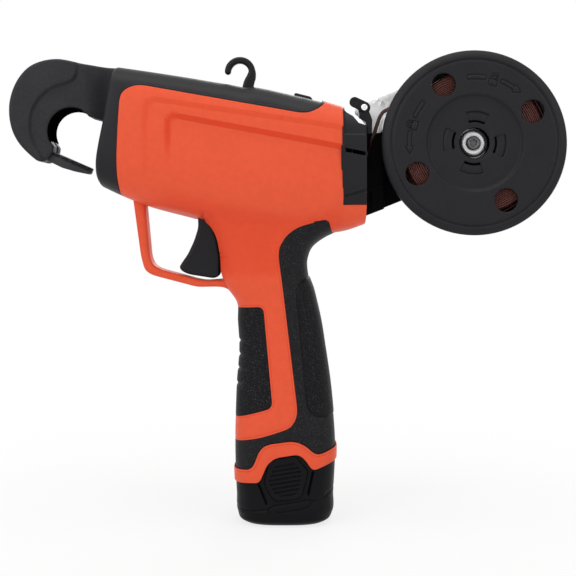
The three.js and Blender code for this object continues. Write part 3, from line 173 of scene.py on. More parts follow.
# The moulded body: a barrel that lies along X and a handle that stands on the battery. Both are
# stations through which a smooth curve runs, in millimetres, and the two shapes melt together.
BARREL_POWER = 3.5
barrel_stations = np.array([
    (-117, 284.6, 209.0, 27.0), (-105, 282.7, 203.3, 28.5), (-88, 280.2, 196.4, 30.0),
    (-63, 276.4, 189.5, 30.0), (-40, 272.6, 183.8, 30.0), (-10, 268.8, 180.0, 30.0),
    (15, 263.8, 179.4, 30.0), (35, 258.1, 180.7, 28.5), (48, 255.0, 185.1, 27.0),
])
HANDLE_POWER = 2.8
handle_stations = np.array([
    (0, -26.0, 22.0, 18.0), (2, -29.5, 25.5, 21.5), (6, -31.3, 27.8, 23.6), (17.5, -32.1, 28.4, 24.3),
    (49, -33.1, 29.6, 24.5), (67.8, -32.8, 28.4, 23.5), (86.8, -32.1, 26.5, 22.5),
    (108.8, -30.6, 23.3, 21.5), (124.6, -31.5, 20.8, 21.0), (137.2, -32.5, 18.0, 21.0),
    (144.8, -37.8, 16.1, 21.3), (154.8, -43.5, 12.6, 21.8), (164.3, -44.5, 12.6, 22.3),
    (171.8, -46.6, 16.4, 22.8), (177.5, -48.5, 24.6, 23.3), (182.5, -51.0, 35.9, 23.7),
    (190.7, -55.4, 39.0, 24.0),
])
MELT = 6.0
HANDLE_TOP = 186.0
HANDLE_FADE = 2.5
TINY = 1e-12


def station_curve(stations, column, at):
    """A smooth curve through one column of the stations: each slope comes from both neighbours."""
    places, values = stations[:, 0], stations[:, column]
    slopes = np.gradient(values, places)
    at = np.clip(at, places[0], places[-1])
    low = np.clip(np.searchsorted(places, at) - 1, 0, len(places) - 2)
    gap = places[low + 1] - places[low]
    share = (at - places[low]) / gap
    rest = 1 - share
    start = (1 + 2 * share) * rest**2 * values[low] + share * rest**2 * gap * slopes[low]
    end = share**2 * (3 - 2 * share) * values[low + 1] - share**2 * rest * gap * slopes[low + 1]
    return start + end


def rounded_half(at, low, high, power, half_width):
    """Half width of a rounded box section: (1 - |share|^power)^(1/power), below 0 outside it."""
    share = np.abs(2 * at - low - high) / (high - low)
    rest = 1 - share**power
    return half_width * np.sign(rest) * np.abs(rest) ** (1 / power)


def barrel_half(x, z):
    """How far the barrel's side stands from the middle plane at a point of the side view."""
    top, foot, wide = (station_curve(barrel_stations, column, x) for column in (1, 2, 3))
    return rounded_half(z, foot, top, BARREL_POWER, wide)


def handle_half(x, z):
    """The same for the handle, which fades out above the barrel's belly."""
    front, back, wide = (station_curve(handle_stations, column, z) for column in (1, 2, 3))
    half = rounded_half(x, front, back, HANDLE_POWER, wide)
    return half - HANDLE_FADE * np.maximum(z - HANDLE_TOP, 0)


def body_half(points):
    """The larger of the two half widths, with a soft fillet where they are nearly equal."""
    barrel = barrel_half(points[:, 0], points[:, 1])
    handle = handle_half(points[:, 0], points[:, 1])
    fillet = np.maximum(MELT - np.abs(barrel - handle), 0) ** 2 / (4 * MELT)
    return np.maximum(barrel, handle) + fillet


CORNER_POINTS = 7


def softened(points, cut):
    """A line of points whose corners are cut back by up to cut and bridged by a parabola."""
    points = np.array(points, float)
    made = [points[:1]]
    steps = np.linspace(0, 1, CORNER_POINTS)[:, None]
    for before, corner, after in zip(points, points[1:], points[2:]):
        into = min(cut / np.linalg.norm(corner - before), 0.5)
        out = min(cut / np.linalg.norm(after - corner), 0.5)
        start = corner + (before - corner) * into
        end = corner + (after - corner) * out
        made.append((1 - steps) ** 2 * start + 2 * steps * (1 - steps) * corner + steps**2 * end)
    return np.concatenate(made + [points[-1:]])


def spaced(points, step):
    """The same line with points no more than step apart."""
    made = []
    for start, end in zip(points, points[1:]):
        count = max(int(np.ceil(np.linalg.norm(end - start) / step)), 1)
        made.append(start + (end - start) * (np.arange(count) / count)[:, None])
    return np.concatenate(made + [points[-1:]])


def unit(vectors):
    """The same directions, each vector made one long."""
    return vectors / np.maximum(np.linalg.norm(vectors, axis=1), TINY)[:, None]


def left_of(along):
    """Directions in the side view turned a quarter to the left."""
    return np.stack([-along[:, 1], along[:, 0]], axis=1)


def sideways(points, distance):
    """The line moved to its left by distance, along the mean normal at each point."""
    return points + distance * left_of(unit(np.gradient(points, axis=0)))


STRETCH = 12


def distance_to(line, points, reach=8.0):
    """Shortest distance from each point to a line of points, or reach where that is less. Only the
    points near each short stretch of the line are measured against it."""
    nearest = np.full(len(points), float(reach))
    for low in range(0, len(line) - 1, STRETCH):
        part = line[low:low + STRETCH + 1]
        close = (points > part.min(0) - reach) & (points < part.max(0) + reach)
        near = np.flatnonzero(close.all(1))
        if len(near):
            start, step = part[:-1], np.diff(part, axis=0)
            length = np.maximum((step**2).sum(1), TINY)
            offset = points[near, None, :] - start[None]
            share = np.clip((offset * step[None]).sum(2) / length, 0, 1)
            gap = offset - share[:, :, None] * step[None]
            nearest[near] = np.minimum(nearest[near], np.sqrt((gap**2).sum(2).min(1)))
    return nearest


POINTS_AT_ONCE = 4000


def within(loop, points):
    """Whether each point lies inside a closed loop, by counting the sides that it looks past."""
    start, end = loop, np.roll(loop, -1, axis=0)
    found = np.zeros(len(points), bool)
    for low in range(0, len(points), POINTS_AT_ONCE):
        some = slice(low, low + POINTS_AT_ONCE)
        x, z = points[some, 0:1], points[some, 1:2]
        spans = (start[:, 1] > z) != (end[:, 1] > z)
        rise = np.where(end[:, 1] == start[:, 1], 1.0, end[:, 1] - start[:, 1])
        cross = start[:, 0] + (z - start[:, 1]) * (end[:, 0] - start[:, 0]) / rise
        found[some] = (spans & (x < cross)).sum(1) % 2 == 1
    return found


def back_to_start(loop):
    """A closed loop as a line that ends at its first point."""
    return np.concatenate([loop, loop[:1]])


def depth_within(loop, points, reach=8.0):
    """Distance to a closed loop up to reach, above 0 inside it and below 0 outside."""
    return distance_to(back_to_start(loop), points, reach) * np.where(within(loop, points), 1, -1)


LEAST_SLOPE_STEP = 1e-4
WIDEST_SLOPE_STEP = 1.2


def outward(flat):
    """The body's outward direction at points of the side view: (-dh/dx, -1, -dh/dz) made unit long,
    where h is the half width. The slopes come from h cubed, which stays nearly straight where the
    body closes and h itself turns steep, and over a wider step where the side is broad."""
    half = np.maximum(body_half(flat), 0)
    step = np.clip(half**2 / 60, LEAST_SLOPE_STEP, WIDEST_SLOPE_STEP)
    slopes = []
    for way in ((1.0, 0.0), (0.0, 1.0)):
        move = step[:, None] * np.array(way)
        slopes.append((body_half(flat + move) ** 3 - body_half(flat - move) ** 3) / (2 * step))
    flatness = 3 * half**2
    return unit(np.stack([-slopes[0], -flatness, -slopes[1]], axis=1))


def turning_place(test, low, high, halvings):
    """Where a test that fails at low and holds at high begins to hold, by halving the way."""
    for _ in range(halvings):
        middle = (low + high) / 2
        holds = test(middle)
        high = np.where(holds, middle, high)
        low = np.where(holds, low, middle)
    return high


EDGE_STEP = 1.5
EDGE_SEARCH = 5.0
SEAM_STEP = 1.3


def edge_run(points, left_side):
    """An outline of the side view: a rough line, spaced evenly and moved onto the true edge, where
    the body's half width is just 0."""
    points = spaced(np.array(points, float), EDGE_STEP)
    inward = sideways(points, 1.0 if left_side else -1.0) - points
    reach = np.full(len(points), EDGE_SEARCH)
    reach = turning_place(lambda at: body_half(points + inward * at[:, None]) > 0, -reach, reach, 44)
    return points + inward * reach[:, None]


def seam_run(line, shift=0.0):
    """The part of a seam that lies on the body, ending exactly on its edge, with points no more
    than 1.3 mm apart along the surface."""
    line = spaced(sideways(spaced(np.array(line, float), 1.0), shift), 0.5)
    inside = np.flatnonzero(body_half(line) > 0)
    first, last = inside[0], inside[-1]
    kept = line[first:last + 1]
    for end, beyond in ((0, first - 1), (-1, last + 1)):
        if 0 <= beyond < len(line):
            tip = turning_place(lambda at: body_half(at[None])[0] > 0, line[beyond], kept[end], 50)
            kept = np.concatenate([tip[None], kept] if end == 0 else [kept, tip[None]])
    for _ in range(14):
        high = np.maximum(body_half(kept), 0)
        reach = np.hypot(np.linalg.norm(np.diff(kept, axis=0), axis=1), np.diff(high))
        split = np.flatnonzero(reach > SEAM_STEP)
        if not len(split):
            break
        kept = np.insert(kept, split + 1, (kept[split] + kept[split + 1]) / 2, axis=0)
    return kept


def edge_between(edge, start, end):
    """The stretch of an outline from start to end, both of which it takes in."""
    first = np.argmin(((edge - start) ** 2).sum(1))
    last = np.argmin(((edge - end) ** 2).sum(1))
    run = edge[first:last + 1] if first < last else edge[last:first + 1][::-1]
    clear = (((run - start) ** 2).sum(1) > 0.2) & (((run - end) ** 2).sum(1) > 0.2)
    return np.concatenate([start[None], run[clear], end[None]])


def region(*parts):
    """The loop round a region of the side view. A seam is given with the radius of its rounding.
    An outline of the body gives the stretch from the seam before it to the seam after it."""
    loop = []
    for place, part in enumerate(parts):
        if isinstance(part, tuple):
            loop.append(part)
        else:
            after = parts[(place + 1) % len(parts)][0]
            loop.append((edge_between(part, loop[-1][0][-1], after[0]), None))
    return loop


def mesh_piece(name, points, faces, body, slot, finish, replaced=(), wall=0.0, sharp=None, tint=None):
    """Puts points in millimetres and faces into a mesh, and hangs the piece on its body. tint is
    kept with the points as the attribute that deepens the colour."""
    mesh = bpy.data.meshes.new(name)
    mesh.from_pydata((np.asarray(points) * MM).tolist(), [], [list(face) for face in faces])
    mesh.validate()
    piece = bpy.data.objects.new(name, mesh)
    bpy.context.scene.collection.objects.link(piece)
    if tint is not None:
        layer = mesh.attributes.new("depth_tint", "FLOAT", "POINT")
        layer.data.foreach_set("value", np.asarray(tint, np.float32))
    mesh.shade_smooth()
    if sharp is not None:
        mesh.set_sharp_from_angle(angle=math.radians(sharp))
    mesh.materials.append(finish)
    if wall:
        shell = piece.modifiers.new("wall", "SOLIDIFY")
        shell.thickness = wall * MM
        shell.offset = -1.0
    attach(piece, body)
    if replaced:
        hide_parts(*replaced)
    return piece


def quarter_drop(gap, radius):
    """How far a surface has rolled down at a distance from its border, for a quarter round."""
    rest = radius - np.minimum(gap, radius)
    return radius - np.sqrt(np.maximum(radius**2 - rest**2, 0))


MERGED_WITHIN = 1e-7


def filled(ring, inner, holes=()):
    """Triangles over the inside of a closed ring, through the inner points and round the holes.
    Returns the points, the triangles, and where each point of the ring and the holes went."""
    fixed = [ring] + list(holes)
    starts = np.cumsum([0] + [len(part) for part in fixed])
    sides = []
    for start, part in zip(starts, fixed):
        sides += [(int(start + i), int(start + (i + 1) % len(part))) for i in range(len(part))]
    made = delaunay_2d_cdt(np.concatenate(fixed + [inner]).tolist(), sides, [], 0, MERGED_WITHIN)
    flat = np.array([tuple(point) for point in made[0]])
    triangles = np.array(made[2])
    middle = flat[triangles].mean(1)
    keep = within(ring, middle)
    for hole in holes:
        keep &= ~within(hole, middle)
    triangles = triangles[keep]
    first, second, third = (flat[triangles[:, corner]] for corner in range(3))
    turn = np.cross(second - first, third - first)
    triangles[turn < 0] = triangles[turn < 0][:, ::-1]
    used, triangles = np.unique(triangles, return_inverse=True)
    places = {old: new for new, old in enumerate(used)}
    went = {}
    for index, olds in enumerate(made[3]):
        for old in olds:
            went[old] = places.get(index, -1)
    order = np.array([went.get(i, -1) for i in range(starts[-1])])
    return flat[used], triangles.reshape(-1, 3), [order[i:j] for i, j in zip(starts, starts[1:])]


def side_half(points):
    """Half width of the body's flat side at each point, away from its rounded top and foot."""
    barrel = station_curve(barrel_stations, 3, points[:, 0])
    handle = station_curve(handle_stations, 3, points[:, 1])
    return np.where(points[:, 1] > HANDLE_TOP, barrel, handle)


def turn_sense(ring):
    """Twice the area of a closed loop, above 0 where it turns counter-clockwise."""
    return (ring[:, 0] * np.roll(ring[:, 1], -1) - ring[:, 1] * np.roll(ring[:, 0], -1)).sum()


def grid_over(ring, step, shift):
    """Points on a square grid over a loop, shifted so that none falls on a straight edge."""
    low, high = ring.min(0), ring.max(0)
    grid = np.meshgrid(np.arange(low[0], high[0], step), np.arange(low[1], high[1], step))
    return np.stack(grid, -1).reshape(-1, 2) + shift


HOLE_ROUNDING = 0.3
EDGE_BAND = 12.0
EDGE_SHARES = (0.12, 0.25, 0.4, 0.55, 0.68)
SEAM_SHARES = (0.04, 0.16, 0.4, 0.75, 1.1)
BROAD_STEP = 1.7
BROAD_SHIFT = 0.137
BROAD_SHARE = 0.74
LINE_OFFSETS = (-0.5, -0.25, 0.0, 0.25, 0.5)


def skin(loop, relief=None, lines=(), stand=0.0, holes=()):
    """The near side of one moulded region. Its loop is a list of (run, radius): a seam has the
    radius of its rounding, an edge of the side view has None. The side view is filled with
    triangles, denser by every seam and edge, and each point is lifted by the body's half width.
    Returns points, triangles, the place of each loop point, edge marks, each run's span, and
    whether the loop turns counter-clockwise."""
    ring = np.concatenate([run[:-1] for run, radius in loop])
    is_edge = np.concatenate([np.full(len(run) - 1, radius is None) for run, radius in loop])
    at_both = is_edge != np.roll(is_edge, 1)
    counter = turn_sense(ring) > 0
    inward = left_of(unit(np.roll(ring, -1, axis=0) - np.roll(ring, 1, axis=0)))
    inward *= 1 if counter else -1
    seams = [(run, radius) for run, radius in loop if radius is not None]
    seams += [(back_to_start(hole), HOLE_ROUNDING) for hole in holes]

    def seam_gap(points):
        return np.min([distance_to(run, points) for run, _ in seams], axis=0)

    rows = []
    start, into = ring[is_edge & ~at_both], inward[is_edge & ~at_both]
    if len(start):
        deep = body_half(start + into * EDGE_BAND)
        for share in EDGE_SHARES:
            reach = turning_place(lambda at: body_half(start + into * at[:, None]) > share * deep,
                                  np.zeros(len(start)), np.full(len(start), EDGE_BAND), 40)
            row = start + into * reach[:, None]
            rows.append(row[seam_gap(row) > 0.8])
    for run, radius in seams:
        for share in SEAM_SHARES:
            for side in (1, -1):
                row = sideways(run, share * radius * side)
                rows.append(row[seam_gap(row) > share * radius * 0.97])
    grid = grid_over(ring, BROAD_STEP, BROAD_SHIFT)
    grid = grid[body_half(grid) > BROAD_SHARE * side_half(grid)]
    for line in lines:
        grid = grid[distance_to(line, grid) > 0.9]
        fine = np.concatenate([sideways(line, offset) for offset in LINE_OFFSETS])
        fine = fine[body_half(fine) > 0.5 * side_half(fine)]
        rows.append(fine[seam_gap(fine) > 1.0])
    widest = max(radius for _, radius in seams)
    rows.append(grid[seam_gap(grid) > max(0.95, widest * 0.5)])
    inner = np.concatenate(rows)
    inner = inner[within(ring, inner)]
    flat, triangles, orders = filled(ring, inner, holes)
    order = orders[0]
    edge_point = np.zeros(len(flat), bool)
    edge_point[order[(is_edge | at_both) & (order >= 0)]] = True
    half = np.where(edge_point, 0, np.maximum(body_half(flat), 0))
    points = np.stack([flat[:, 0], -half, flat[:, 1]], axis=1)
    normal = outward(flat)
    normal[edge_point, 1] = 0
    normal = unit(normal)
    starts = np.cumsum([0] + [len(run) - 1 for run, _ in loop])
    spans = [np.arange(i, j + 1) % len(ring) for i, j in zip(starts, starts[1:])]
    drops = [quarter_drop(distance_to(run, flat), radius) for run, radius in seams]
    lift = stand - np.max(drops, axis=0)
    if relief is not None:
        lift = lift + relief(flat)
    return points + normal * lift[:, None], triangles, order, edge_point, spans, counter


def crossing_rows(line, start, end, shares, first, counter, landing=()):
    """A wall of straight rows from start to end, (start + (end - start) share): its new points,
    numbered from first on, and its faces. landing has the points that each row ends on."""
    rows = start[:, None] + (end - start)[:, None] * shares[None, :, None]
    index = first + np.arange(len(line) * len(shares)).reshape(len(line), -1)
    index = np.column_stack([line, index, *landing])
    quads = np.stack([index[:-1, :-1], index[:-1, 1:], index[1:, 1:], index[1:, :-1]], axis=-1)
    quads = quads.reshape(-1, 4)
    return rows.reshape(-1, 3), (quads if counter else quads[:, ::-1]).tolist()


PARTING = 0.07


def one_sided(near, spanned=(), across=14):
    """One half of a region, stopped just short of the middle plane. Each spanned run of the loop
    gets a wall of straight rows that runs in to the middle plane."""
    points, triangles, order, edge_point, spans, counter = near
    points = points.copy()
    points[:, 1] = np.minimum(points[:, 1], -PARTING)
    faces = triangles.tolist()
    shares = np.linspace(0, 1, across + 1)[1:]
    for which in spanned:
        line = order[spans[which]]
        line = line[line >= 0]
        start = points[line]
        end = start * (1, 0, 1) - (0, PARTING, 0)
        rows, quads = crossing_rows(line, start, end, shares, len(points), counter)
        points = np.concatenate([points, rows])
        faces += quads
    return points, faces


def gathered(*parts):
    """Several (points, faces) pairs as one."""
    starts = np.cumsum([0] + [len(points) for points, _ in parts])
    faces = [[int(index) + int(start) for index in face]
             for start, (_, made) in zip(starts, parts) for face in made]
    return np.concatenate([points for points, _ in parts]), faces


def two_sided(near, spanned=(), across=22):
    """Both sides of a region in one mesh, joined along the edges of the side view. Each spanned
    run of the loop is also joined to its own mirror image by straight rows along Y."""
    points, triangles, order, edge_point, spans, counter = near
    twin = np.arange(len(points))
    free = np.flatnonzero(~edge_point)
    twin[free] = len(points) + np.arange(len(free))
    points = np.where(edge_point[:, None], (1, 0, 1), 1) * points
    points = np.concatenate([points, points[free] * (1, -1, 1)])
    faces = triangles.tolist() + twin[triangles][:, ::-1].tolist()
    shares = np.linspace(0, 1, across + 1)[1:-1]
    for which in spanned:
        line = order[spans[which]]
        line = line[line >= 0]
        start, landing = points[line], (twin[line],)
        end = start * (1, -1, 1)
        rows, quads = crossing_rows(line, start, end, shares, len(points), counter, landing)
        points = np.concatenate([points, rows])
        faces += quads
    return points, faces


def arc(x, z, radius, start, end, count):
    """Points along a circle from one angle to another, in degrees: (x + r cos t, z + r sin t)."""
    turn = np.radians(np.linspace(start, end, count))
    return np.stack([x + radius * np.cos(turn), z + radius * np.sin(turn)], axis=1)


def disc_ring(x, z, radius, step=1.2):
    """A circle of evenly spaced points."""
    count = max(int(2 * math.pi * radius / step), 16)
    turn = np.arange(count) * 2 * math.pi / count
    return np.stack([x + radius * np.cos(turn), z + radius * np.sin(turn)], axis=1)


def gap_from(flat, x, z):
    """How far each point of the side view lies from one place."""
    return np.hypot(flat[:, 0] - x, flat[:, 1] - z)


def smooth_rise(value):
    """0 below 0, 1 above 1, and a smooth rise between them."""
    value = np.clip(value, 0, 1)
    return value * value * (3 - 2 * value)


def closed_ring(points, cut=0.0, step=1.2):
    """A closed outline with softened corners and even spacing, turning counter-clockwise."""
    points = np.array(points, float)
    middle = (points[-1] + points[0]) / 2
    ring = np.concatenate([middle[None], points, middle[None]])
    ring = spaced(softened(ring, cut) if cut else ring, step)[:-1]
    return ring if turn_sense(ring) > 0 else ring[::-1]


def mirrored_side(points, faces):
    """The same piece on the other side of the middle plane."""
    return points * (1, -1, 1), [list(face)[::-1] for face in faces]


def strip(path, width_way, thick_way, widths, thickness):
    """A flat strip with rounded edges carried along a path: at each point an eight-sided ring lies
    in the plane of the two given directions."""
    turn = np.radians(np.array([0, 30, 90, 150, 180, 210, 270, 330]))
    across, up = np.cos(turn), np.sin(turn)
    ring = (path[:, None] + width_way[:, None] * (across[None, :, None] * widths[:, None, None] / 2)
            + thick_way[:, None] * (up[None, :, None] * thickness / 2))
    count, sides = ring.shape[:2]
    index = np.arange(count * sides).reshape(count, sides)
    beside = np.roll(index, -1, axis=1)
    faces = np.stack([index[:-1], beside[:-1], beside[1:], index[1:]], axis=-1).reshape(-1, 4)
    faces = faces.tolist() + [index[0][::-1].tolist(), index[-1].tolist()]
    points = ring.reshape(-1, 3)
    along = path[1] - path[0]
    if np.dot(np.cross(width_way[0], thick_way[0]), along) < 0:
        faces = [face[::-1] for face in faces]
    return points, faces


LIP_DEPTH = 1.3
LIP_WIDTH = 3.0
LIP_THICK = 0.5


def seam_backing(*runs):
    """A flat strip that lies a little under each seam, on both sides, as the lip of one moulding
    does under the next, so that no light passes through the joint."""
    parts = []
    for run in runs:
        line = spaced(run, 1.2)
        line = line[np.concatenate([[True], np.linalg.norm(np.diff(line, axis=0), axis=1) > 0.02])]
        normal = outward(line)
        half = np.maximum(body_half(line), 0)
        path = np.stack([line[:, 0], -half, line[:, 1]], axis=1) - normal * LIP_DEPTH
        across = unit(np.cross(normal, np.gradient(path, axis=0)))
        near = strip(path, across, normal, np.full(len(line), LIP_WIDTH), LIP_THICK)
        parts += [near, mirrored_side(*near)]
    return gathered(*parts)


def wrapped(loop, seams, spanned=(), **shape):
    """A moulding that goes round the body: a region on both sides, with a lip under its seams."""
    return gathered(two_sided(skin(loop, **shape), spanned), seam_backing(*seams))


def welded(piece):
    """Joins points that lie on each other, and drops the faces that this empties."""
    work = bmesh.new()
    work.from_mesh(piece.data)
    bmesh.ops.remove_doubles(work, verts=work.verts, dist=1e-6)
    bmesh.ops.dissolve_degenerate(work, edges=work.edges, dist=1e-7)
    work.to_mesh(piece.data)
    work.free()
    return piece


def opaque(colour, factor=1.0):
    """A colour with its alpha, made lighter or darker by a factor."""
    return tuple(min(value * factor, 1.0) for value in colour) + (1.0,)


PAINTED_GLINT_GREY = (0.13, 0.128, 0.135)
GRAIN_HEIGHT = 0.4 * MM


def moulded(name, colour, rough=0.45, grain=1500.0, depth=0.05, gloss=0.15, mottle=0.08,
            patch=55.0, deeper=None, glint_share=0.0):
    """A moulded plastic or rubber: one colour with a faint cloudiness, a fine grain pressed in by
    the mould, and a roughness that changes a little over the surface. deeper is the colour that
    the piece's own tint leads to: painted shade on the head cover and the orange shells, a darker
    part of the piece on the rear grip's palm and round the hook's jaw. The last argument is the
    share of fine painted highlights, light grey glints that stand in for light caught by a rubber's grain."""
    made = bpy.data.materials.new(name)
    base = emptied(made)
    place = base.node("ShaderNodeTexCoord", out="Object")
    cloud = base.node("ShaderNodeTexNoise", {"Vector": place, "Scale": patch, "Detail": 3.0})
    fine = base.node("ShaderNodeTexNoise", {"Vector": place, "Scale": grain, "Detail": 2.0})
    dark, light = opaque(colour, 1 - mottle), opaque(colour, 1 + mottle)
    shade = (cloud * 0.5 + fine * 0.5).between(0.35, 0.65).blend(dark, light)
    if deeper is not None:
        tint = base.node("ShaderNodeAttribute", settings={"attribute_name": "depth_tint"}, out="Fac")
        shade = tint.blend(shade, opaque(deeper))
    # Painted highlight: fine light grey glints stand in for light caught by the rubber's grain.
    if glint_share:
        shade = (fine.between(0.58, 0.70) * glint_share).blend(shade, opaque(PAINTED_GLINT_GREY))
    bump = base.node("ShaderNodeBump", {"Strength": depth, "Distance": GRAIN_HEIGHT, "Height": fine})
    values = {
        "Base Color": shade,
        "Roughness": rough - 0.06 + cloud * 0.12,
        "Specular IOR Level": gloss,
        "Normal": bump,
    }
    base.node("ShaderNodeOutputMaterial", {"Surface": base.node("ShaderNodeBsdfPrincipled", values)})
    return made


# The seams of the body, in the side view: head cover, front and rear grip, the orange rim and the
# slot for the trigger. Each is a hairline gap between two mouldings, and its corners are rounded.
SEAM_GAP = 0.1
head_seam = softened([
    (22.5, 270), (22.5, 259.5), (16, 254.8), (9.7, 253), (-90, 270.5), (-97, 268.9), (-101.7, 264.9),
    (-102.8, 259.9), (-103.7, 244.8), (-104.5, 227.4), (-104.5, 216.2), (-103.6, 204.2), (-103.6, 196),
], 4.0)
nose_line = softened([
    (-106.2, 290), (-106.8, 284), (-112.7, 248.2), (-115.9, 233.2), (-117.4, 224.0),
    (-117.8, 214.0), (-117.0, 207.0), (-116.0, 200),
], 4.0)
front_grip_seam = softened([(-60, 131.1), (-15.4, 134.2), (-9.8, 73.1), (-60, 57.7)], 3.6)
rear_grip_seam = softened([
    (38, 176), (26.8, 178.7), (24.4, 188.2), (6.4, 183), (-0.7, 178.1), (-4.9, 171.1), (-5.5, 165.6),
    (-2.6, 143.2), (6, 71.8), (5.5, 67.2), (3.4, 62.9), (0.4, 60), (-15.9, 54.7), (-27, 52.2),
    (-60, 44.8),
], 4.0)
rim_top_seam = softened([
    (-42, 33), (-21.9, 35.3), (-17, 47.8), (-12.3, 51.1), (3.3, 53.1), (10, 50.7), (17.4, 43.9),
    (40, 51),
], 4.0)
rim_low_seam = softened([
    (-42, 24.5), (-21.9, 27), (-17.2, 27.4), (-12.3, 39.1), (-7.4, 42.9), (6.1, 44.9), (10, 42),
    (14.9, 34.7), (40, 43),
], 3.0)
slot_line = np.array([
    (-56.6, 182.0), (-56.6, 187.9), (-55.0, 187.4), (-51.7, 185.2), (-48.3, 181.6), (-45.4, 175.9),
    (-44.2, 169.0), (-43.4, 163.0), (-42.8, 157.0), (-42.2, 154.6), (-41.2, 152.0), (-40.3, 150.2),
    (-60.0, 150.2),
])
slot_line = np.concatenate([slot_line[:2], softened(slot_line[2:-1], 3.0), slot_line[-1:]])

# The outline of the side view in four stretches: the crown and the belly of the barrel, and the
# back and the front of the handle. Every moulding takes its own part of them.
across_x = np.arange(-118, 48.1, 2.0)
crown = edge_run(np.stack([across_x, station_curve(barrel_stations, 1, across_x)], axis=1), False)
across_x = np.arange(-118, -54, 2.0)
belly = edge_run(np.stack([across_x, station_curve(barrel_stations, 2, across_x)], axis=1), True)
across_x = np.arange(48, 33, -2.0)
up_z = np.concatenate([np.arange(179.5, 3, -1.5), (2.0, 1.2, 0.5, 0.0)])
back_edge = edge_run(np.concatenate([
    np.stack([across_x, station_curve(barrel_stations, 2, across_x)], axis=1),
    np.stack([station_curve(handle_stations, 2, up_z), up_z], axis=1),
]), False)
up_z = np.concatenate([(0.0, 0.5, 1.2, 2.0), np.arange(3, 154, 1.5)])
front_edge = edge_run(np.stack([station_curve(handle_stations, 1, up_z), up_z], axis=1), False)

# The head cover is a near-black satin moulding over the jaw end and the whole top of the barrel.
# It clips over both shells and closes round the hook's neck with a flat nose.
head_run = seam_run(head_seam, -SEAM_GAP)
nose_run = seam_run(nose_line)
# The cover's deeper colour is painted shade along the top of the barrel.
cover_black = moulded("cover_black", (0.0165, 0.016, 0.0185), rough=0.42, depth=0.08, gloss=0.15,
                     deeper=(0.0095, 0.0092, 0.0103))
head_loop = region((head_run, 0.6), belly, (nose_run[::-1], 2.6), crown)
dip_places = (-60, -36, -27, -20, 3, 17, 23)
dips = (0, 0, -0.8, 0.1, -1.1, -1.2, -0.8)


def under_crown(x, z):
    """How far a point of the side view lies below the barrel's top line."""
    return station_curve(barrel_stations, 1, x) - z


def crown_relief(flat):
    """The cover dips behind the hanging hook, and falls away round the power button."""
    below = under_crown(flat[:, 0], flat[:, 1])
    return np.interp(flat[:, 0], dip_places, dips) * (1 - smooth_rise((below - 2) / 12))


points, faces = wrapped(head_loop, [head_run], spanned=(2,), relief=crown_relief)
# Painted shade: the cover's colour deepens along the rounded top of the barrel, over the 11 mm below its
# top line.
crown_painted_shade = smooth_rise((11 - under_crown(points[:, 0], points[:, 2])) / 9)
welded(mesh_piece("head_cover_moulding", points, faces, "housing", "black_cover_plastic", cover_black,
                  ["head_cover"], wall=1.5, tint=crown_painted_shade))

# The two orange shells are moulded nylon, clamped together on the middle plane by screws from the
# far side, and carry everything inside. Their sides have a broad stepped panel with rounded corners.
# The deeper orange is painted shade, laid by the shells' tint in the panel's steps, the grooves and under
# the crease.
orange = moulded("orange_nylon", (0.800, 0.101, 0.0425), rough=0.42, grain=1900.0, depth=0.12,
                 gloss=0.12, mottle=0.035, patch=260.0, deeper=(0.74, 0.055, 0.016))
panel_top = softened([(-88.0, 150), (-88.0, 263.4), (60, 241.6), (60, 150)], 10.0)
inset_top = softened([(-74.6, 150), (-74.6, 253.8), (60, 228.6), (60, 150)], 9.0)
PANEL_STEP, PANEL_DEPTH = 3.2, 0.85
INSET_STEP, INSET_DEPTH = 3.4, 1.7
PANEL_SLOPE = 0.16
CREASE_DEPTH = 1.3
BEAD = 1.3
GROOVE_DEPTH = 0.25
belly_crease = softened([
    (-100, 214.5), (-66.3, 207.0), (-28.9, 198.5), (4, 192.6), (12, 193.0), (31.4, 200.1), (60, 208),
], 9.0)
under_crease = np.concatenate([belly_crease, [(60, 150), (-100, 150)]])


def rubber_groove(flat):
    """A fine groove beside the edge of the rubber, which leaves a bead along it."""
    return np.exp(-((distance_to(rubber_edge, flat, 3.0) - BEAD) / 0.24) ** 2)


def panel_depth(flat, outline, reach, fade):
    """0 outside the outline, 1 from reach inside it, and back to 0 below its upper edge, which
    starts at its first corner and falls by its slope."""
    slope = np.clip(depth_within(outline, flat) / reach, 0, 1)
    start_x, start_z = outline[CORNER_POINTS - 1, 0] + 6.0, outline[:, 1].max() - 0.6
    under = start_z + (flat[:, 0] - start_x) * -PANEL_SLOPE - flat[:, 1]
    return slope * (1 - smooth_rise((under - 7) / fade))


def below_crease(flat, reach):
    """0 above the crease along the panel's foot, and up to 1 below it within its two ends."""
    below = np.clip(depth_within(under_crease, flat, reach + 1) / reach, 0, 1)
    return below * smooth_rise((flat[:, 0] + 92) / 30) * smooth_rise((40 - flat[:, 0]) / 16)


def panel_relief(flat):
    """Two steps down towards the panel's middle, and a crease under which the side turns in."""
    made = -PANEL_DEPTH * panel_depth(flat, panel_top, PANEL_STEP, 22)
    made -= INSET_DEPTH * panel_depth(flat, inset_top, INSET_STEP, 30)
    below = below_crease(flat, 15.0) * smooth_rise(body_half(flat) / 16)
    below *= smooth_rise((distance_to(rear_out, flat) - 0.5) / 7)
    made -= CREASE_DEPTH * (1 - (1 - below) ** 2) * (below > 0)
    return made - GROOVE_DEPTH * rubber_groove(flat)


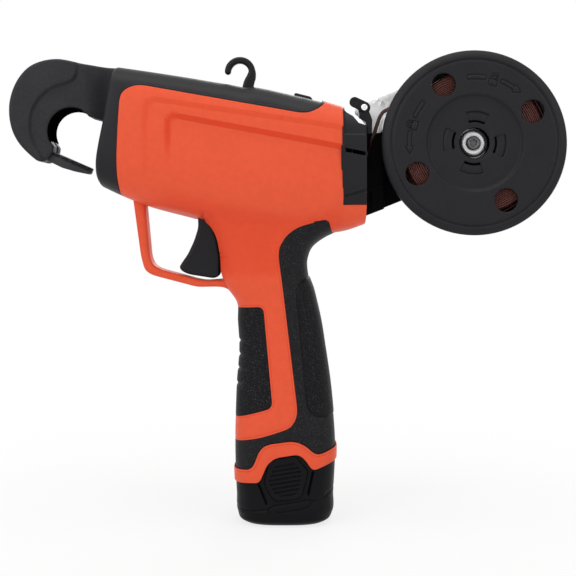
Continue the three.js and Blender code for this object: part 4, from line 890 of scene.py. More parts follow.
def painted_side_shade(points):
    """Painted shade: a deeper orange in the two steps, most in the inner one, under the crease, on the
    belly, and in the groove beside the rubber."""
    flat = points[:, [0, 2]]
    made = 0.75 * rubber_groove(flat)
    for outline, reach, fade, share in (
        (panel_top, PANEL_STEP, 60, 0.28), (inset_top, INSET_STEP, 26, 0.85),
    ):
        depth = depth_within(outline, flat)
        band = smooth_rise(depth / 0.5 + 0.5) * smooth_rise((reach - depth) / 0.5 + 0.5)
        under = outline[:, 1].max() - 8 - flat[:, 1] - (flat[:, 0] + 75) * PANEL_SLOPE
        made = np.maximum(made, share * band * (1 - smooth_rise(under / fade)))
    under = 0.46 * smooth_rise(below_crease(flat, 9.0) * 1.2)
    return np.clip(np.maximum(made, under), 0, 1)


head_out = seam_run(head_seam, SEAM_GAP)
slot_run = seam_run(slot_line)
front_out = seam_run(front_grip_seam, SEAM_GAP)
rear_out = seam_run(rear_grip_seam, -SEAM_GAP)
collar_seam = [(48, 196.9), (33.8, 196.9), (33.8, 268)]
back_out = seam_run([(48, 178), *collar_seam], SEAM_GAP)
rim_top_in, rim_low_in = seam_run(rim_top_seam, -SEAM_GAP), seam_run(rim_low_seam, SEAM_GAP)
far_off = [(-900.0, 0.0)]
rubber_edge = np.concatenate([front_out, far_off, rear_out, far_off, rim_top_in])
shell_loop = region((head_out, 1.0), belly, (slot_run, 0.5), front_edge, (front_out, 0.6), front_edge,
                    (rear_out[::-1], 0.6), back_edge, (back_out, 0.6), crown)
rim_loop = region((rim_top_in, 0.5), back_edge, (rim_low_in[::-1], 0.5), front_edge)


def beads(run):
    """Lines beside a seam of the rubber, along both of its grooves."""
    return [sideways(spaced(run, 0.8), side) for side in (BEAD, -BEAD)]


# A panel's upper edge runs straight between its two rounded corners.
upper_edges = [spaced(outline[CORNER_POINTS:-CORNER_POINTS], 0.9) for outline in (panel_top, inset_top)]
panel_lines = upper_edges + [sideways(upper_edges[0], -PANEL_STEP), sideways(upper_edges[1], -INSET_STEP)]
panel_lines += [spaced(belly_crease, 0.9)] + beads(front_out) + beads(rear_out)

# Two of the screws are sunk in round recesses of the far side, one at each end of the barrel.
SCREW_RECESS = 3.0
RECESS_RADIUS = 4.8
recess_places = [(-88.0, 208.0), (27.0, 249.0)]
recess_rings = [disc_ring(x, z, radius, 0.8) for x, z in recess_places for radius in (RECESS_RADIUS, 4.2)]
shell_skin = skin(shell_loop, relief=panel_relief, lines=panel_lines + recess_rings)
rim_skin = skin(rim_loop, relief=lambda flat: -GROOVE_DEPTH * rubber_groove(flat),
                lines=beads(rim_top_in), stand=1.0)
left_half = gathered(one_sided(shell_skin, spanned=(8,)), one_sided(rim_skin))
right_half = mirrored_side(*left_half)
for x, z in recess_places:
    inside = smooth_rise((RECESS_RADIUS - gap_from(right_half[0][:, [0, 2]], x, z)) / 0.6)
    right_half[0][:, 1] -= SCREW_RECESS * inside * (right_half[0][:, 1] > 8)
for side, (points, faces) in (("left", left_half), ("right", right_half)):
    mesh_piece(side + "_shell_moulding", points, faces, "housing", "orange_plastic", orange,
               [side + "_shell"], wall=1.8, tint=painted_side_shade(points))

# The rear collar is a black moulding round the barrel's back end. A scoop in its top leaves room for
# the tension lever, the wire enters by a slot in its side, and its end face carries the spool's arm.
collar_run = seam_run(collar_seam, -SEAM_GAP)
scoop_run = seam_run([
    (34.4, 268), (34.4, 256.5), (36.5, 254.2), (40, 251.9), (43.3, 247.4), (47, 246.2), (48, 246.1),
])
end_run = spaced(np.array([scoop_run[-1], collar_run[0]]), 0.9)
collar_loop = region((collar_run, 0.5), crown, (scoop_run, 0.8), (end_run, 0.8))
collar_slot = closed_ring([(34.5, 229.0), (47.3, 226.6), (47.3, 229.0), (34.5, 231.4)], step=0.6)
collar_line = np.array([(30.0, 200.4), (50.0, 206.5)])
LEDGE_LEVEL = 239.3


def collar_relief(flat):
    """A fine groove across the side, and a ledge above which the face lies lower."""
    made = -0.9 * smooth_rise((0.8 - distance_to(collar_line, flat)) / 0.4)
    return made - 0.5 * smooth_rise((flat[:, 1] - LEDGE_LEVEL) / 0.8)


ledge_line = np.array([(30.0, LEDGE_LEVEL + 0.4), (50.0, LEDGE_LEVEL + 0.4)])
collar_lines = [sideways(spaced(collar_line, 0.8), offset) for offset in (-0.6, 0.6)]
collar_lines += [spaced(ledge_line, 0.8)]
collar_black = moulded("collar_black", (0.0135, 0.0128, 0.0145), rough=0.42, depth=0.08, gloss=0.15)
points, faces = wrapped(collar_loop, [collar_run], spanned=(2, 3), relief=collar_relief,
                        lines=collar_lines, holes=[collar_slot])
welded(mesh_piece("rear_collar_moulding", points, faces, "housing", "black_cover_plastic", collar_black,
                  ["rear_collar"], wall=1.2))

# Soft rubber is moulded over the handle. The front pad has four shallow finger grooves, and the
# one at the back has a palm panel with a pressed texture.
rubber = moulded("grip_rubber", (0.0080, 0.0077, 0.0090), rough=0.50, grain=1700.0, depth=0.30,
                 gloss=0.08, glint_share=0.42)
rear_rubber = moulded("palm_rubber", (0.0125, 0.0121, 0.0135), rough=0.48, grain=1700.0, depth=0.20,
                      gloss=0.09, deeper=(0.0066, 0.0063, 0.0076), glint_share=0.36)
finger_levels = (112.4, 103.8, 95.3, 85.7)


def finger_grooves(flat):
    """Shallow grooves across the front of the pad, deepest on the front edge."""
    front = station_curve(handle_stations, 1, flat[:, 1])
    reach = np.clip(1 - (flat[:, 0] - front) / 13.0, 0, 1) ** 1.5
    dips = sum(np.exp(-((flat[:, 1] - level) / 1.1) ** 2) for level in finger_levels)
    return -1.0 * reach * dips


front_in = seam_run(front_grip_seam, -SEAM_GAP)
pad_loop = region((front_in, 0.6), front_edge)
finger_lines = [spaced(np.array([(-34.0, level + offset), (-20.0, level + offset)]), 0.9)
                for level in finger_levels for offset in (-1.0, 0.0, 1.0)]
points, faces = wrapped(pad_loop, [front_in], relief=finger_grooves, lines=finger_lines)
mesh_piece("front_grip_pad", points, faces, "housing", "grip_rubber", rubber, ["front_grip"], wall=1.4)

palm_outline = softened([(48, 170), (13.5, 153.2), (5, 147), (12, 72.3), (16.9, 67.4), (48, 66.6)], 5.0)


def palm_panel(flat):
    """The palm panel stands a little higher, behind a groove and a rounded step."""
    depth = depth_within(palm_outline, flat)
    return 0.35 * smooth_rise(depth / 0.9) - 0.6 * np.exp(-((depth + 0.2) / 0.4) ** 2)


rear_in, rim_top_out = seam_run(rear_grip_seam, SEAM_GAP), seam_run(rim_top_seam, SEAM_GAP)
rear_loop = region((rear_in, 0.6), front_edge, (rim_top_out, 0.6), back_edge)
palm_lines = [sideways(spaced(palm_outline, 0.8), side) for side in (-0.9, -0.3, 0.3, 0.9)]
points, faces = wrapped(rear_loop, [rear_in, rim_top_out], relief=palm_panel, lines=palm_lines)
palm_tint = smooth_rise(depth_within(palm_outline, points[:, [0, 2]]) / 0.6)
mesh_piece("rear_grip_pad", points, faces, "housing", "grip_rubber", rear_rubber, ["rear_grip"],
           wall=1.4, tint=palm_tint)

# The battery closes the foot of the handle: a slim black case with a rounded base, a parting line
# low on its side and a raised plate under the latch.
battery_black = moulded("battery_black", (0.0068, 0.0066, 0.0078), rough=0.40, depth=0.06, gloss=0.07)
pad_outline = softened([
    (-11.1, 41.2), (4, 44.2), (12.1, 34.6), (8.5, 20), (6.1, 18), (-7.1, 16.5), (-9.6, 18.5),
    (-14.6, 27.6), (-11.1, 41.2),
], 2.0)[:-1]
parting_line = softened([
    (-40, 10.6), (-22, 9.6), (-12.0, 11.2), (0, 12.4), (13.0, 15.8), (21.0, 17.0), (29.0, 22.0),
    (36, 30),
], 3.0)
relief_slots = [np.array(slot) for slot in (
    [(-17.9, 26.4), (-13.0, 14.8)], [(15.2, 33.4), (12.3, 20.4)],
)]
raised_plate = closed_ring([
    (-12.0, 8.6), (10.0, 11.8), (14.6, 14.2), (13.4, 17.2), (-8.6, 13.6), (-12.4, 11.4),
], cut=1.6, step=0.6)


def battery_relief(flat):
    """A fine groove along the case's parting line, a plain plate that stands a little proud inside
    its own groove, and two relief slots beside the latch."""
    plate = depth_within(raised_plate, flat)
    made = -0.8 * np.exp(-(distance_to(parting_line, flat) / 0.35) ** 2) * smooth_rise(-plate / 0.5)
    made += 0.3 * smooth_rise((plate - 0.3) / 0.5) - 0.7 * np.exp(-(plate / 0.3) ** 2)
    for slot in relief_slots:
        made -= 2.6 * smooth_rise((0.9 - distance_to(slot, flat)) / 0.3)
    return made


low_in = seam_run(rim_low_seam, -SEAM_GAP)
base_run = seam_run([(34, 0.0), (-38, 0.0)])
battery_loop = region((low_in, 0.4), back_edge, (base_run, 0.4), front_edge)
battery_lines = [spaced(np.array([(-34.0, z), (32.0, z)]), 1.2) for z in (1.2, 2.4, 3.6, 5.0)]
battery_lines += [spaced(parting_line, 0.7), back_to_start(raised_plate)]
battery_lines += [spaced(slot, 0.5) for slot in relief_slots]
battery_lines += [sideways(spaced(slot, 0.5), side) for slot in relief_slots for side in (0.75, -0.75)]
pad_hole = sideways(spaced(back_to_start(pad_outline), 1.0), 0.25)[:-1]
points, faces = wrapped(battery_loop, [low_in], spanned=(2,), relief=battery_relief,
                        lines=battery_lines, holes=[pad_hole])
welded(mesh_piece("battery_case_moulding", points, faces, "battery", "battery_plastic", battery_black,
                  ["battery_case"], wall=1.2))


BORDER_SHARES = (0.05, 0.18, 0.4, 0.7, 1.05)
SLAB_SHIFT = 0.131


def slab(outline, near, far, rounding=0.6, back_rounding=None, holes=(), relief=None, back=None,
         lines=(), step=1.6):
    """A flat piece with an outline in the side view, between two levels of y. Both faces roll
    over their borders in a quarter round; relief lifts the near face and back the far one."""
    back_rounding = rounding if back_rounding is None else back_rounding
    borders = [back_to_start(ring) for ring in (outline, *holes)]

    def border_gap(points):
        return np.min([distance_to(border, points) for border in borders], axis=0)

    rows = []
    widest = max(rounding, back_rounding, 0.05)
    for border in borders:
        for share in BORDER_SHARES:
            for side in (1, -1):
                row = sideways(border, share * widest * side)[:-1]
                rows.append(row[border_gap(row) > share * widest * 0.95])
    grid = grid_over(outline, step, SLAB_SHIFT)
    for line in lines:
        grid = grid[distance_to(line, grid) > 0.6]
        fine = np.concatenate([sideways(line, offset) for offset in (-0.25, 0.0, 0.25)])
        rows.append(fine[border_gap(fine) > widest * 1.1])
    rows.append(grid[border_gap(grid) > max(widest * 1.3, step * 0.5)])
    inner = np.concatenate(rows)
    flat, triangles, orders = filled(outline, inner[within(outline, inner)], holes)
    gap = border_gap(flat)
    near_y = near + quarter_drop(gap, rounding)
    far_y = far - quarter_drop(gap, back_rounding)
    if relief is not None:
        near_y = near_y - relief(flat)
    if back is not None:
        far_y = far_y + back(flat)
    count = len(flat)
    points = np.concatenate([
        np.stack([flat[:, 0], near_y, flat[:, 1]], axis=1),
        np.stack([flat[:, 0], far_y, flat[:, 1]], axis=1),
    ])
    faces = triangles.tolist() + (triangles[:, ::-1] + count).tolist()
    for ring, order in zip((outline, *holes), orders):
        if (turn_sense(ring) > 0) != (ring is outline):
            order = order[::-1]
        after = np.roll(order, -1)
        faces += np.stack([order, order + count, after + count, after], axis=1).tolist()
    return points, faces


def stroke(path, widths, cap=7):
    """The outline of a line drawn with a round pen whose width changes along it."""
    path = np.array(path, float)
    half = np.interp(np.arange(len(path)), np.linspace(0, len(path) - 1, len(widths)), widths) / 2
    along = unit(np.gradient(path, axis=0))
    normal = left_of(along)
    turn = np.linspace(0, math.pi, cap + 2)[1:-1, None]
    end = path[-1] + half[-1] * (np.cos(turn) * normal[-1] + np.sin(turn) * along[-1])
    start = path[0] - half[0] * (np.cos(turn) * normal[0] + np.sin(turn) * along[0])
    left, right = path + normal * half[:, None], path - normal * half[:, None]
    return np.concatenate([left, end, right[::-1], start])


def both_sides(near, names, bodies, slot, finish, replaced=((), ()), **options):
    """A piece and its mirror image across the middle plane, each with its own name and body."""
    for made, name, body, solids in zip((near, mirrored_side(*near)), names, bodies, replaced):
        mesh_piece(name, *made, body, slot, finish, solids, **options)


# The trigger guard is part of the shells: a bow of oval section from the barrel's belly to the
# handle, with the parting line of the two mouldings running along its middle.
guard_outline = closed_ring([
    (-97.6, 209), (-96.6, 200.1), (-91.8, 165.2), (-89.6, 156.9), (-86.4, 154), (-82.1, 152.5),
    (-56.6, 145.8), (-43.5, 146.0), (-39.2, 145.4), (-35.8, 143.2), (-33.2, 139.6), (-31.6, 135.5),
    (-24, 138), (-25, 150.4), (-37.0, 150.3), (-40.0, 150.6), (-43.0, 150.4), (-46.0, 150.1),
    (-51, 149.8), (-56, 150.6), (-79.5, 156.9), (-83.9, 159.6), (-86, 164.5), (-89, 196.6),
    (-89.8, 207),
], cut=3.0, step=1.1)
GUARD_HALF_WIDTH = 9.0
guard_half = slab(guard_outline, near=-GUARD_HALF_WIDTH, far=-PARTING, rounding=2.6, back_rounding=0.0,
                  step=1.4)
both_sides(guard_half, ("guard_left_moulding", "guard_right_moulding"), ("housing", "housing"),
           "orange_plastic", orange, (["left_shell"], ["right_shell"]), sharp=50)

# The battery's two latches are black moulded pads on living hinges, one on each side. A field of
# slanting ribs on each gives the thumb a hold.
RIB_PITCH = 2.62
RIB_SLOPE = 0.165
RIB_DEPTH = 1.3
LATCH_FACE, LATCH_BACK, LIP_BACK = -24.9, -22.6, -21.9
latch_ring = closed_ring(pad_outline, step=0.8)
rib_field = closed_ring([
    (-8.6, 37.6), (4.0, 40.2), (8.9, 34.0), (6.5, 21.5), (5.0, 19.8), (-6.2, 18.9), (-8.0, 20.4),
    (-12.0, 28.0),
], cut=1.5)


def latch_ribs(flat):
    """Ribs that rise to the right, cut into the pad as one smoothed cosine wave."""
    phase = (flat[:, 1] - RIB_SLOPE * flat[:, 0] - 0.4) / RIB_PITCH
    wave = 0.5 - 0.5 * np.cos(2 * math.pi * phase)
    return -RIB_DEPTH * smooth_rise(depth_within(rib_field, flat) / 0.7) * smooth_rise(wave * 1.6 - 0.3)


lip_ring = sideways(np.concatenate([latch_ring[-1:], latch_ring, latch_ring[:1]]), -1.2)[1:-1]
latch = gathered(
    slab(latch_ring, LATCH_FACE, LATCH_BACK, rounding=0.5, back_rounding=0.2, relief=latch_ribs, step=0.5),
    slab(lip_ring, LATCH_BACK - 0.1, LIP_BACK, rounding=0.2, step=2.0),
)
both_sides(latch, ("latch_pad_left", "latch_pad_right"), ("left_latch", "right_latch"),
           "battery_plastic", battery_black, (["latch_tab_left"], ["latch_tab_right"]))

# The hooked jaw is two cheeks of dark glass-filled nylon with the wire channel between them. A
# raised band runs round its back, and its neck thins towards the head cover.
JAW_X, JAW_Z = -134.3, 242.6
JAW_RADIUS = 14.2
HOOK_HALF_WIDTH = 14.0
WIRE_CHANNEL_HALF = 1.9
hook_grey = moulded("hook_nylon", (0.0245, 0.0235, 0.0265), rough=0.46, grain=1100.0, depth=0.30,
                    gloss=0.16, mottle=0.16, deeper=(0.0012, 0.0012, 0.0014))
hook_back = softened([
    (-104, 282.2), (-114, 282.7), (-127.6, 284.5), (-139.4, 287.2), (-145.3, 287.4), (-152.4, 286.3),
    (-160.1, 283.1), (-166, 277.1), (-170.2, 269.5), (-172.5, 261.2), (-172.8, 254.7), (-172.2, 248.2),
    (-170.2, 241.1), (-166, 234), (-160.1, 228.1), (-154.8, 223.7), (-151.3, 223.7), (-148.9, 225.2),
    (-145.6, 230.2),
], 5.0)
jaw_arc = arc(JAW_X, JAW_Z, JAW_RADIUS, 220, 40, 26)
hook_outline = closed_ring(np.concatenate([hook_back, jaw_arc, [(-117.3, 249.9), (-104, 247.0)]]), step=1.0)
band_line = softened([
    (-130.6, 300), (-130.6, 279.6), (-132.3, 274.8), (-136.4, 272.4), (-142.4, 271), (-148.3, 268.3),
    (-154.2, 263), (-158.3, 255.9), (-159.8, 248.8), (-159.5, 241.1), (-157.1, 234), (-152.4, 226.9),
    (-148, 215),
], 5.0)
band_zone = np.concatenate([band_line, [(-190, 215), (-190, 300)]])


def hook_relief(flat):
    """The face lies lower inside the raised band, behind a steep step, and falls away along the
    neck."""
    inside = np.clip(0.5 - depth_within(band_zone, flat) / 1.9, 0, 1)
    return -1.8 * inside - 4.6 * smooth_rise((flat[:, 0] + 126) / 15.0)


hook_lines = [spaced(sideways(band_line, offset), 0.7) for offset in (-0.95, 0.0, 0.95)]
cheek = slab(hook_outline, near=-HOOK_HALF_WIDTH, far=-WIRE_CHANNEL_HALF, rounding=1.8,
             back_rounding=0.2, relief=hook_relief, lines=hook_lines, step=1.3)
jaw_tint = smooth_rise((JAW_RADIUS + 0.8 - gap_from(cheek[0][:, [0, 2]], JAW_X, JAW_Z)) / 0.6)
both_sides(cheek, ("hook_cheek_left", "hook_cheek_right"), ("housing", "housing"), "hook_plastic",
           hook_grey, (["hook_left_cheek"], ["hook_right_cheek"]), sharp=60, tint=jaw_tint)

# The jaw's inside is lined with a matt black strip on each cheek. The slot between the two strips
# lets the wire out round the cane.
liner_black = moulded("liner_black", (0.0012, 0.0011, 0.0014), rough=0.9, depth=0.05, gloss=0.0)
liner_outer, liner_inner = (arc(JAW_X, JAW_Z, radius, 206, 62, 60) for radius in (14.5, 13.9))
liner_ring = closed_ring(np.concatenate([liner_outer, liner_inner[::-1]]), step=0.8)
liner = slab(liner_ring, near=-12.3, far=-0.5, rounding=0.15, step=2.0)
both_sides(liner, ("jaw_liner_left", "jaw_liner_right"), ("housing", "housing"), "hook_plastic",
           liner_black, sharp=50)

# The gate is the pointed finger at the hook's mouth. It swings on a pin in the hook's tip, and its
# top has fine cross ribs that stop the cane from sliding.
GATE_HALF_WIDTH = 8.0
GATE_RIB_PITCH = 1.1
RIBBED_WIDTH = 1.7
TIP_TAPER = 4.2
gate_grey = moulded("gate_nylon", (0.040, 0.039, 0.043), rough=0.42, grain=1100.0, depth=0.25, gloss=0.18)
gate_ring = closed_ring([
    (-153.0, 229.2), (-150.6, 230.9), (-147.5, 230.4), (-143.9, 229.0), (-122.4, 219.8),
    (-124.3, 216.1), (-133.0, 217.8), (-141.0, 220.2), (-147.0, 223.2), (-151.5, 225.3),
], cut=1.2, step=0.5)
gate_ridge = np.array([(-146.5, 229.6), (-123.6, 219.3)])


def gate_ribs(flat):
    """A strip along the top lies lower on both faces and is crossed by fine ribs, and the finger
    gets thinner towards its tip."""
    ribbed = smooth_rise((RIBBED_WIDTH - distance_to(gate_ridge, flat)) / 0.4)
    along = flat[:, 0] * 0.912 - flat[:, 1] * 0.41
    ribs = 0.9 - 0.45 * np.cos(2 * math.pi * along / GATE_RIB_PITCH)
    return -ribbed * ribs - TIP_TAPER * smooth_rise((flat[:, 0] + 142) / 20)


gate_lines = [spaced(sideways(gate_ridge, offset), 0.4) for offset in (-RIBBED_WIDTH, -1.2)]
points, faces = slab(gate_ring, near=-GATE_HALF_WIDTH, far=GATE_HALF_WIDTH, rounding=0.7,
                     relief=gate_ribs, back=gate_ribs, lines=gate_lines, step=0.5)
mesh_piece("gate_finger", points, faces, "gate", "hook_plastic", gate_grey, ["jaw_gate"], sharp=60)

# The trigger is a curved lever of black plastic. Its front is scooped for the finger, and its root
# runs up into the body round a steel pin.
trigger_black = moulded("trigger_black", (0.0125, 0.012, 0.014), rough=0.40, depth=0.08, gloss=0.15)
TRIGGER_HALF_WIDTH = 7.5
trigger_ring = closed_ring([
    (-50.0, 192), (-56.4, 190.5), (-56.1, 182.9), (-58.7, 174.6), (-62.5, 166.4), (-66.9, 160),
    (-67.9, 158.1), (-66.3, 155.6), (-61.8, 153.6), (-45.9, 151.1), (-42.4, 153), (-42.1, 164.5),
    (-43.6, 175.3), (-45.7, 181.6), (-47.0, 190),
], cut=2.5, step=1.0)
points, faces = slab(trigger_ring, near=-TRIGGER_HALF_WIDTH, far=TRIGGER_HALF_WIDTH, rounding=2.0, step=1.5)
mesh_piece("trigger_moulding", points, faces, "trigger_lever", "black_cover_plastic", trigger_black,
           ["trigger"])

# The hanging hook is a black moulded crook, open towards the jaw, that carries the tool between two
# plants. It stands on the barrel's top, where the head cover holds its widened foot.
CROOK_HALF_WIDTH = 3.0
crook_bend = arc(-30.2, 280.5, 7.6, 176, -14, 40)
crook_foot = [(-23.2, 277.2), (-24.0, 275.4), (-24.6, 273.6), (-25.0, 271.6), (-25.0, 268.5)]
crook_widths = (4.0, 4.1, 4.1, 4.1, 4.1, 4.2, 4.2, 4.3, 5.6, 7.6)
crook_ring = closed_ring(stroke(np.concatenate([crook_bend, crook_foot]), crook_widths), step=0.7)
hanger_black = moulded("hanger_black", (0.010, 0.0096, 0.011), rough=0.34, depth=0.05, gloss=0.18)
points, faces = slab(crook_ring, near=-CROOK_HALF_WIDTH, far=CROOK_HALF_WIDTH, rounding=1.6, step=1.1)
mesh_piece("hanging_crook", points, faces, "housing", "hook_plastic", hanger_black, ["hanging_hook"])

# The power button is a flush key in the barrel's top, moulded in the cover's own plastic. Its face
# follows the cover's slope.
KEY_HALF_WIDTH = 4.0
key_ring = closed_ring([
    (3.9, 266.9), (5.0, 267.3), (14.2, 265.0), (15.4, 263.4), (15.6, 257.5), (3.9, 257.5),
], cut=0.8, step=0.6)
points, faces = slab(key_ring, near=-KEY_HALF_WIDTH, far=KEY_HALF_WIDTH, rounding=0.9, step=1.0)
mesh_piece("power_key_cap", points, faces, "power_key", "black_cover_plastic", cover_black,
           ["power_button"])

# The spool cover is a large black disc that turns to lock the spool. It has a bevelled rim, a
# dished middle, four windows on the wire, four shallow kidney pockets and raised turn signs.
SPOOL_X, SPOOL_Z = 114.4, 235.0
COVER_RADIUS = 56.8
COVER_FACE, COVER_BACK = -21.0, -15.0
BEVEL_START, BEVEL_DEPTH = 52.3, 2.1
RIM_GROOVE, RIM_GROOVE_DEPTH = 51.2, 0.95
DISH_RADIUS, DISH_DEPTH = 30.5, 1.9
HUB_RING, HUB_RING_DEPTH = 10.4, 0.4
SIGN_LINE = 0.24
SKIRT_RADIUS = 54.0
cover_disc_black = moulded("disc_black", (0.0165, 0.0160, 0.0180), rough=0.46, grain=1500.0,
                           depth=0.14, gloss=0.14)


def around(radius, degrees):
    """A point of the spool's face at a radius and an angle."""
    turn = math.radians(degrees)
    return (SPOOL_X + radius * math.cos(turn), SPOOL_Z + radius * math.sin(turn))


def sector(low, high, start, end, count=14):
    """A closed strip between two radii and two angles."""
    inner, outer = (arc(SPOOL_X, SPOOL_Z, radius, start, end, count) for radius in (low, high))
    return closed_ring(np.concatenate([inner, outer[::-1]]), cut=0.6, step=0.5)


windows = [disc_ring(*around(40.1, 28.4 + 90 * turn), 7.2, 0.9)[::-1] for turn in range(4)]
pockets = [sector(12.6, 19.4, 90 * turn - 28, 90 * turn + 16) for turn in range(4)]


def turn_arrow(radius, start, way, far):
    """A bent arrow along a circle, from the angle start to the angle far, as one closed outline."""
    neck = far - way * 6.6
    inner, outer = (arc(SPOOL_X, SPOOL_Z, radius + side, start, neck, 9) for side in (-1.1, 1.1))
    head = [around(radius - 2.5, neck), around(radius + 0.3, far), around(radius + 2.5, neck)]
    return closed_ring(np.concatenate([inner, head, outer[::-1]]), cut=0.2, step=0.4)


def padlock(radius, angle, bow_turn):
    """A padlock's body and its bow, standing on a circle at an angle. The bow is turned about one
    of its feet when the lock is open."""
    place = np.array(around(radius, angle))
    up = np.array((math.cos(math.radians(angle)), math.sin(math.radians(angle))))
    over = np.array((up[1], -up[0]))
    case = [(-2.5, -2.3), (2.5, -2.3), (2.5, 1.3), (-2.5, 1.3)]
    body = closed_ring([place + over * a + up * b for a, b in case], cut=0.3, step=0.4)
    turns = np.linspace(math.pi, -0.15, 12)
    bow = np.stack([1.6 * np.cos(turns), 1.6 * np.sin(turns) + 1.3], axis=1)
    bow = np.concatenate([[(-1.6, 0.5)], bow, [(1.6, 0.5)]])
    foot, lean = np.array((1.6, 0.5)), math.radians(bow_turn)
    spin = np.array([(math.cos(lean), -math.sin(lean)), (math.sin(lean), math.cos(lean))])
    bow = (bow - foot) @ spin.T + foot + (0, 1.2)
    bow = place + bow[:, :1] * over + bow[:, 1:] * up
    return [body, closed_ring(stroke(bow, (0.8, 0.8), cap=3), step=0.4)]


turn_signs = [sector(39.0, 41.4, 80.4, 96.8), sector(38.8, 41.1, 141.6, 157.4),
              turn_arrow(40.9, 67.2, -1, 47.7), turn_arrow(40.2, 170.2, 1, 190.0)]
turn_signs += padlock(38.9, 73.6, -24) + padlock(38.8, 164.3, 0)


def cover_face(flat):
    """Rim bevel, groove inside it, dish, hub ring and the turn signs, each raised a little inside
    a fine groove of its own."""
    radius = gap_from(flat, SPOOL_X, SPOOL_Z)
    made = -BEVEL_DEPTH * np.clip((radius - BEVEL_START) / 4.4, 0, 1) ** 1.5
    made -= RIM_GROOVE_DEPTH * np.exp(-((radius - RIM_GROOVE) / 0.5) ** 2)
    made -= DISH_DEPTH * smooth_rise((DISH_RADIUS - radius) / 2.4)
    made -= HUB_RING_DEPTH * np.exp(-((radius - HUB_RING) / 0.4) ** 2)
    for sign in turn_signs:
        depth = depth_within(sign, flat)
        made += 0.25 * smooth_rise(depth / 0.3 + 0.3) - 0.5 * np.exp(-((depth + 0.1) / SIGN_LINE) ** 2)
    return made


def cover_back(flat):
    """The rim's skirt reaches further back than the plate."""
    return -2.5 * smooth_rise((SKIRT_RADIUS - gap_from(flat, SPOOL_X, SPOOL_Z)) / 0.8)


cover_lines = [disc_ring(SPOOL_X, SPOOL_Z, radius, 1.0)
               for radius in (RIM_GROOVE, 52.6, SKIRT_RADIUS, 30.2, 29.0, 28.2, 10.6)]
cover_lines += [sideways(back_to_start(sign), -0.2)[:-1] for sign in turn_signs]
cover_lines += [back_to_start(sign) for sign in turn_signs]
cover_ring = disc_ring(SPOOL_X, SPOOL_Z, COVER_RADIUS, 1.1)
centre_hole = disc_ring(SPOOL_X, SPOOL_Z, 9.3, 0.8)[::-1]
plate = slab(cover_ring, COVER_FACE, COVER_BACK, rounding=0.7, back_rounding=0.3,
             holes=windows + pockets + [centre_hole], relief=cover_face, back=cover_back,
             lines=cover_lines, step=1.3)


def turned(profile, x=SPOOL_X, z=SPOOL_Z, count=96, drift=None):
    """A closed profile of (radius, y) carried round an axis along Y: (x + r cos t, y, z + r sin t).
    drift adds to the radius by angle and radius."""
    profile = np.array(profile, float)
    profile = profile[::-1] if turn_sense(profile) > 0 else profile
    turn = (np.arange(count) * 2 * math.pi / count)[:, None]
    radius = np.repeat(profile[None, :, 0], count, axis=0)
    if drift is not None:
        radius = radius + drift(turn, radius)
    level = np.broadcast_to(profile[None, :, 1], radius.shape)
    points = np.stack([x + radius * np.cos(turn), level, z + radius * np.sin(turn)], axis=-1)
    index = np.arange(radius.size).reshape(radius.shape)
    after, beside = np.roll(index, -1, axis=0), np.roll(index, -1, axis=1)
    faces = np.stack([index, after, np.roll(after, -1, axis=1), beside], axis=-1).reshape(-1, 4)
    return points.reshape(-1, 3), faces.tolist()


# Inside the cover a short skirt with a ledge stands round the wire, a collar stands round the hub,
# and the kidney pockets have a floor that leaves a slit at their inner edge.
skirt = turned([
    (47.6, -17.6), (48.8, -17.6), (48.8, -11.9), (45.0, -11.9), (45.0, -12.8), (47.6, -12.8),
], count=120)
hub_collar = turned([
    (7.3, -15.4), (7.6, -15.8), (8.3, -15.8), (8.6, -15.4), (8.6, -13.9), (7.3, -13.9),
], count=72)
floors = turned([(13.9, -18.2), (14.1, -18.4), (20.6, -18.4), (20.6, -17.55), (13.9, -17.55)], count=96)
points, faces = gathered(plate, skirt, hub_collar, floors)
mesh_piece("spool_cover_disc", points, faces, "reel_cover", "black_cover_plastic", cover_disc_black,
           ["spool_cover"])


def strand_finish(name, dark, light, pitch, gloss=0.45):
    """Plastic-coated flat wire: a dark red-brown coat with painted highlights in rings along its layers."""
    made = bpy.data.materials.new(name)
    base = emptied(made)
    place = base.node("ShaderNodeTexCoord", out="Object")
    middle = base.node("ShaderNodeVectorMath", {0: place, 1: (SPOOL_X * MM, 0.0, SPOOL_Z * MM)},
                       {"operation": "SUBTRACT"})
    flat = base.node("ShaderNodeVectorMath", {0: middle, 1: (1.0, 0.0, 1.0)}, {"operation": "MULTIPLY"})
    radius = base.node("ShaderNodeVectorMath", {0: flat}, {"operation": "LENGTH"}, out="Value")
    streak = base.node("ShaderNodeTexNoise", {"Vector": place, "Scale": 900.0, "Detail": 2.0})
    cloud = base.node("ShaderNodeTexNoise", {"Vector": place, "Scale": 90.0, "Detail": 2.0})
    phase = radius * (2 * math.pi / (pitch * MM)) + cloud * 5.0
    wave = phase.maths("SINE", phase)
    # Painted highlight: the lighter colour lies in rings that follow the layers, broken by fine streaks.
    edge = (wave * 0.5 + streak * 0.9).between(0.25, 1.0)
    values = {
        "Base Color": edge.blend(opaque(dark), opaque(light)),
        "Roughness": 0.36 + streak * 0.2,
        "Specular IOR Level": gloss,
    }
    base.node("ShaderNodeOutputMaterial", {"Surface": base.node("ShaderNodeBsdfPrincipled", values)})
    return made


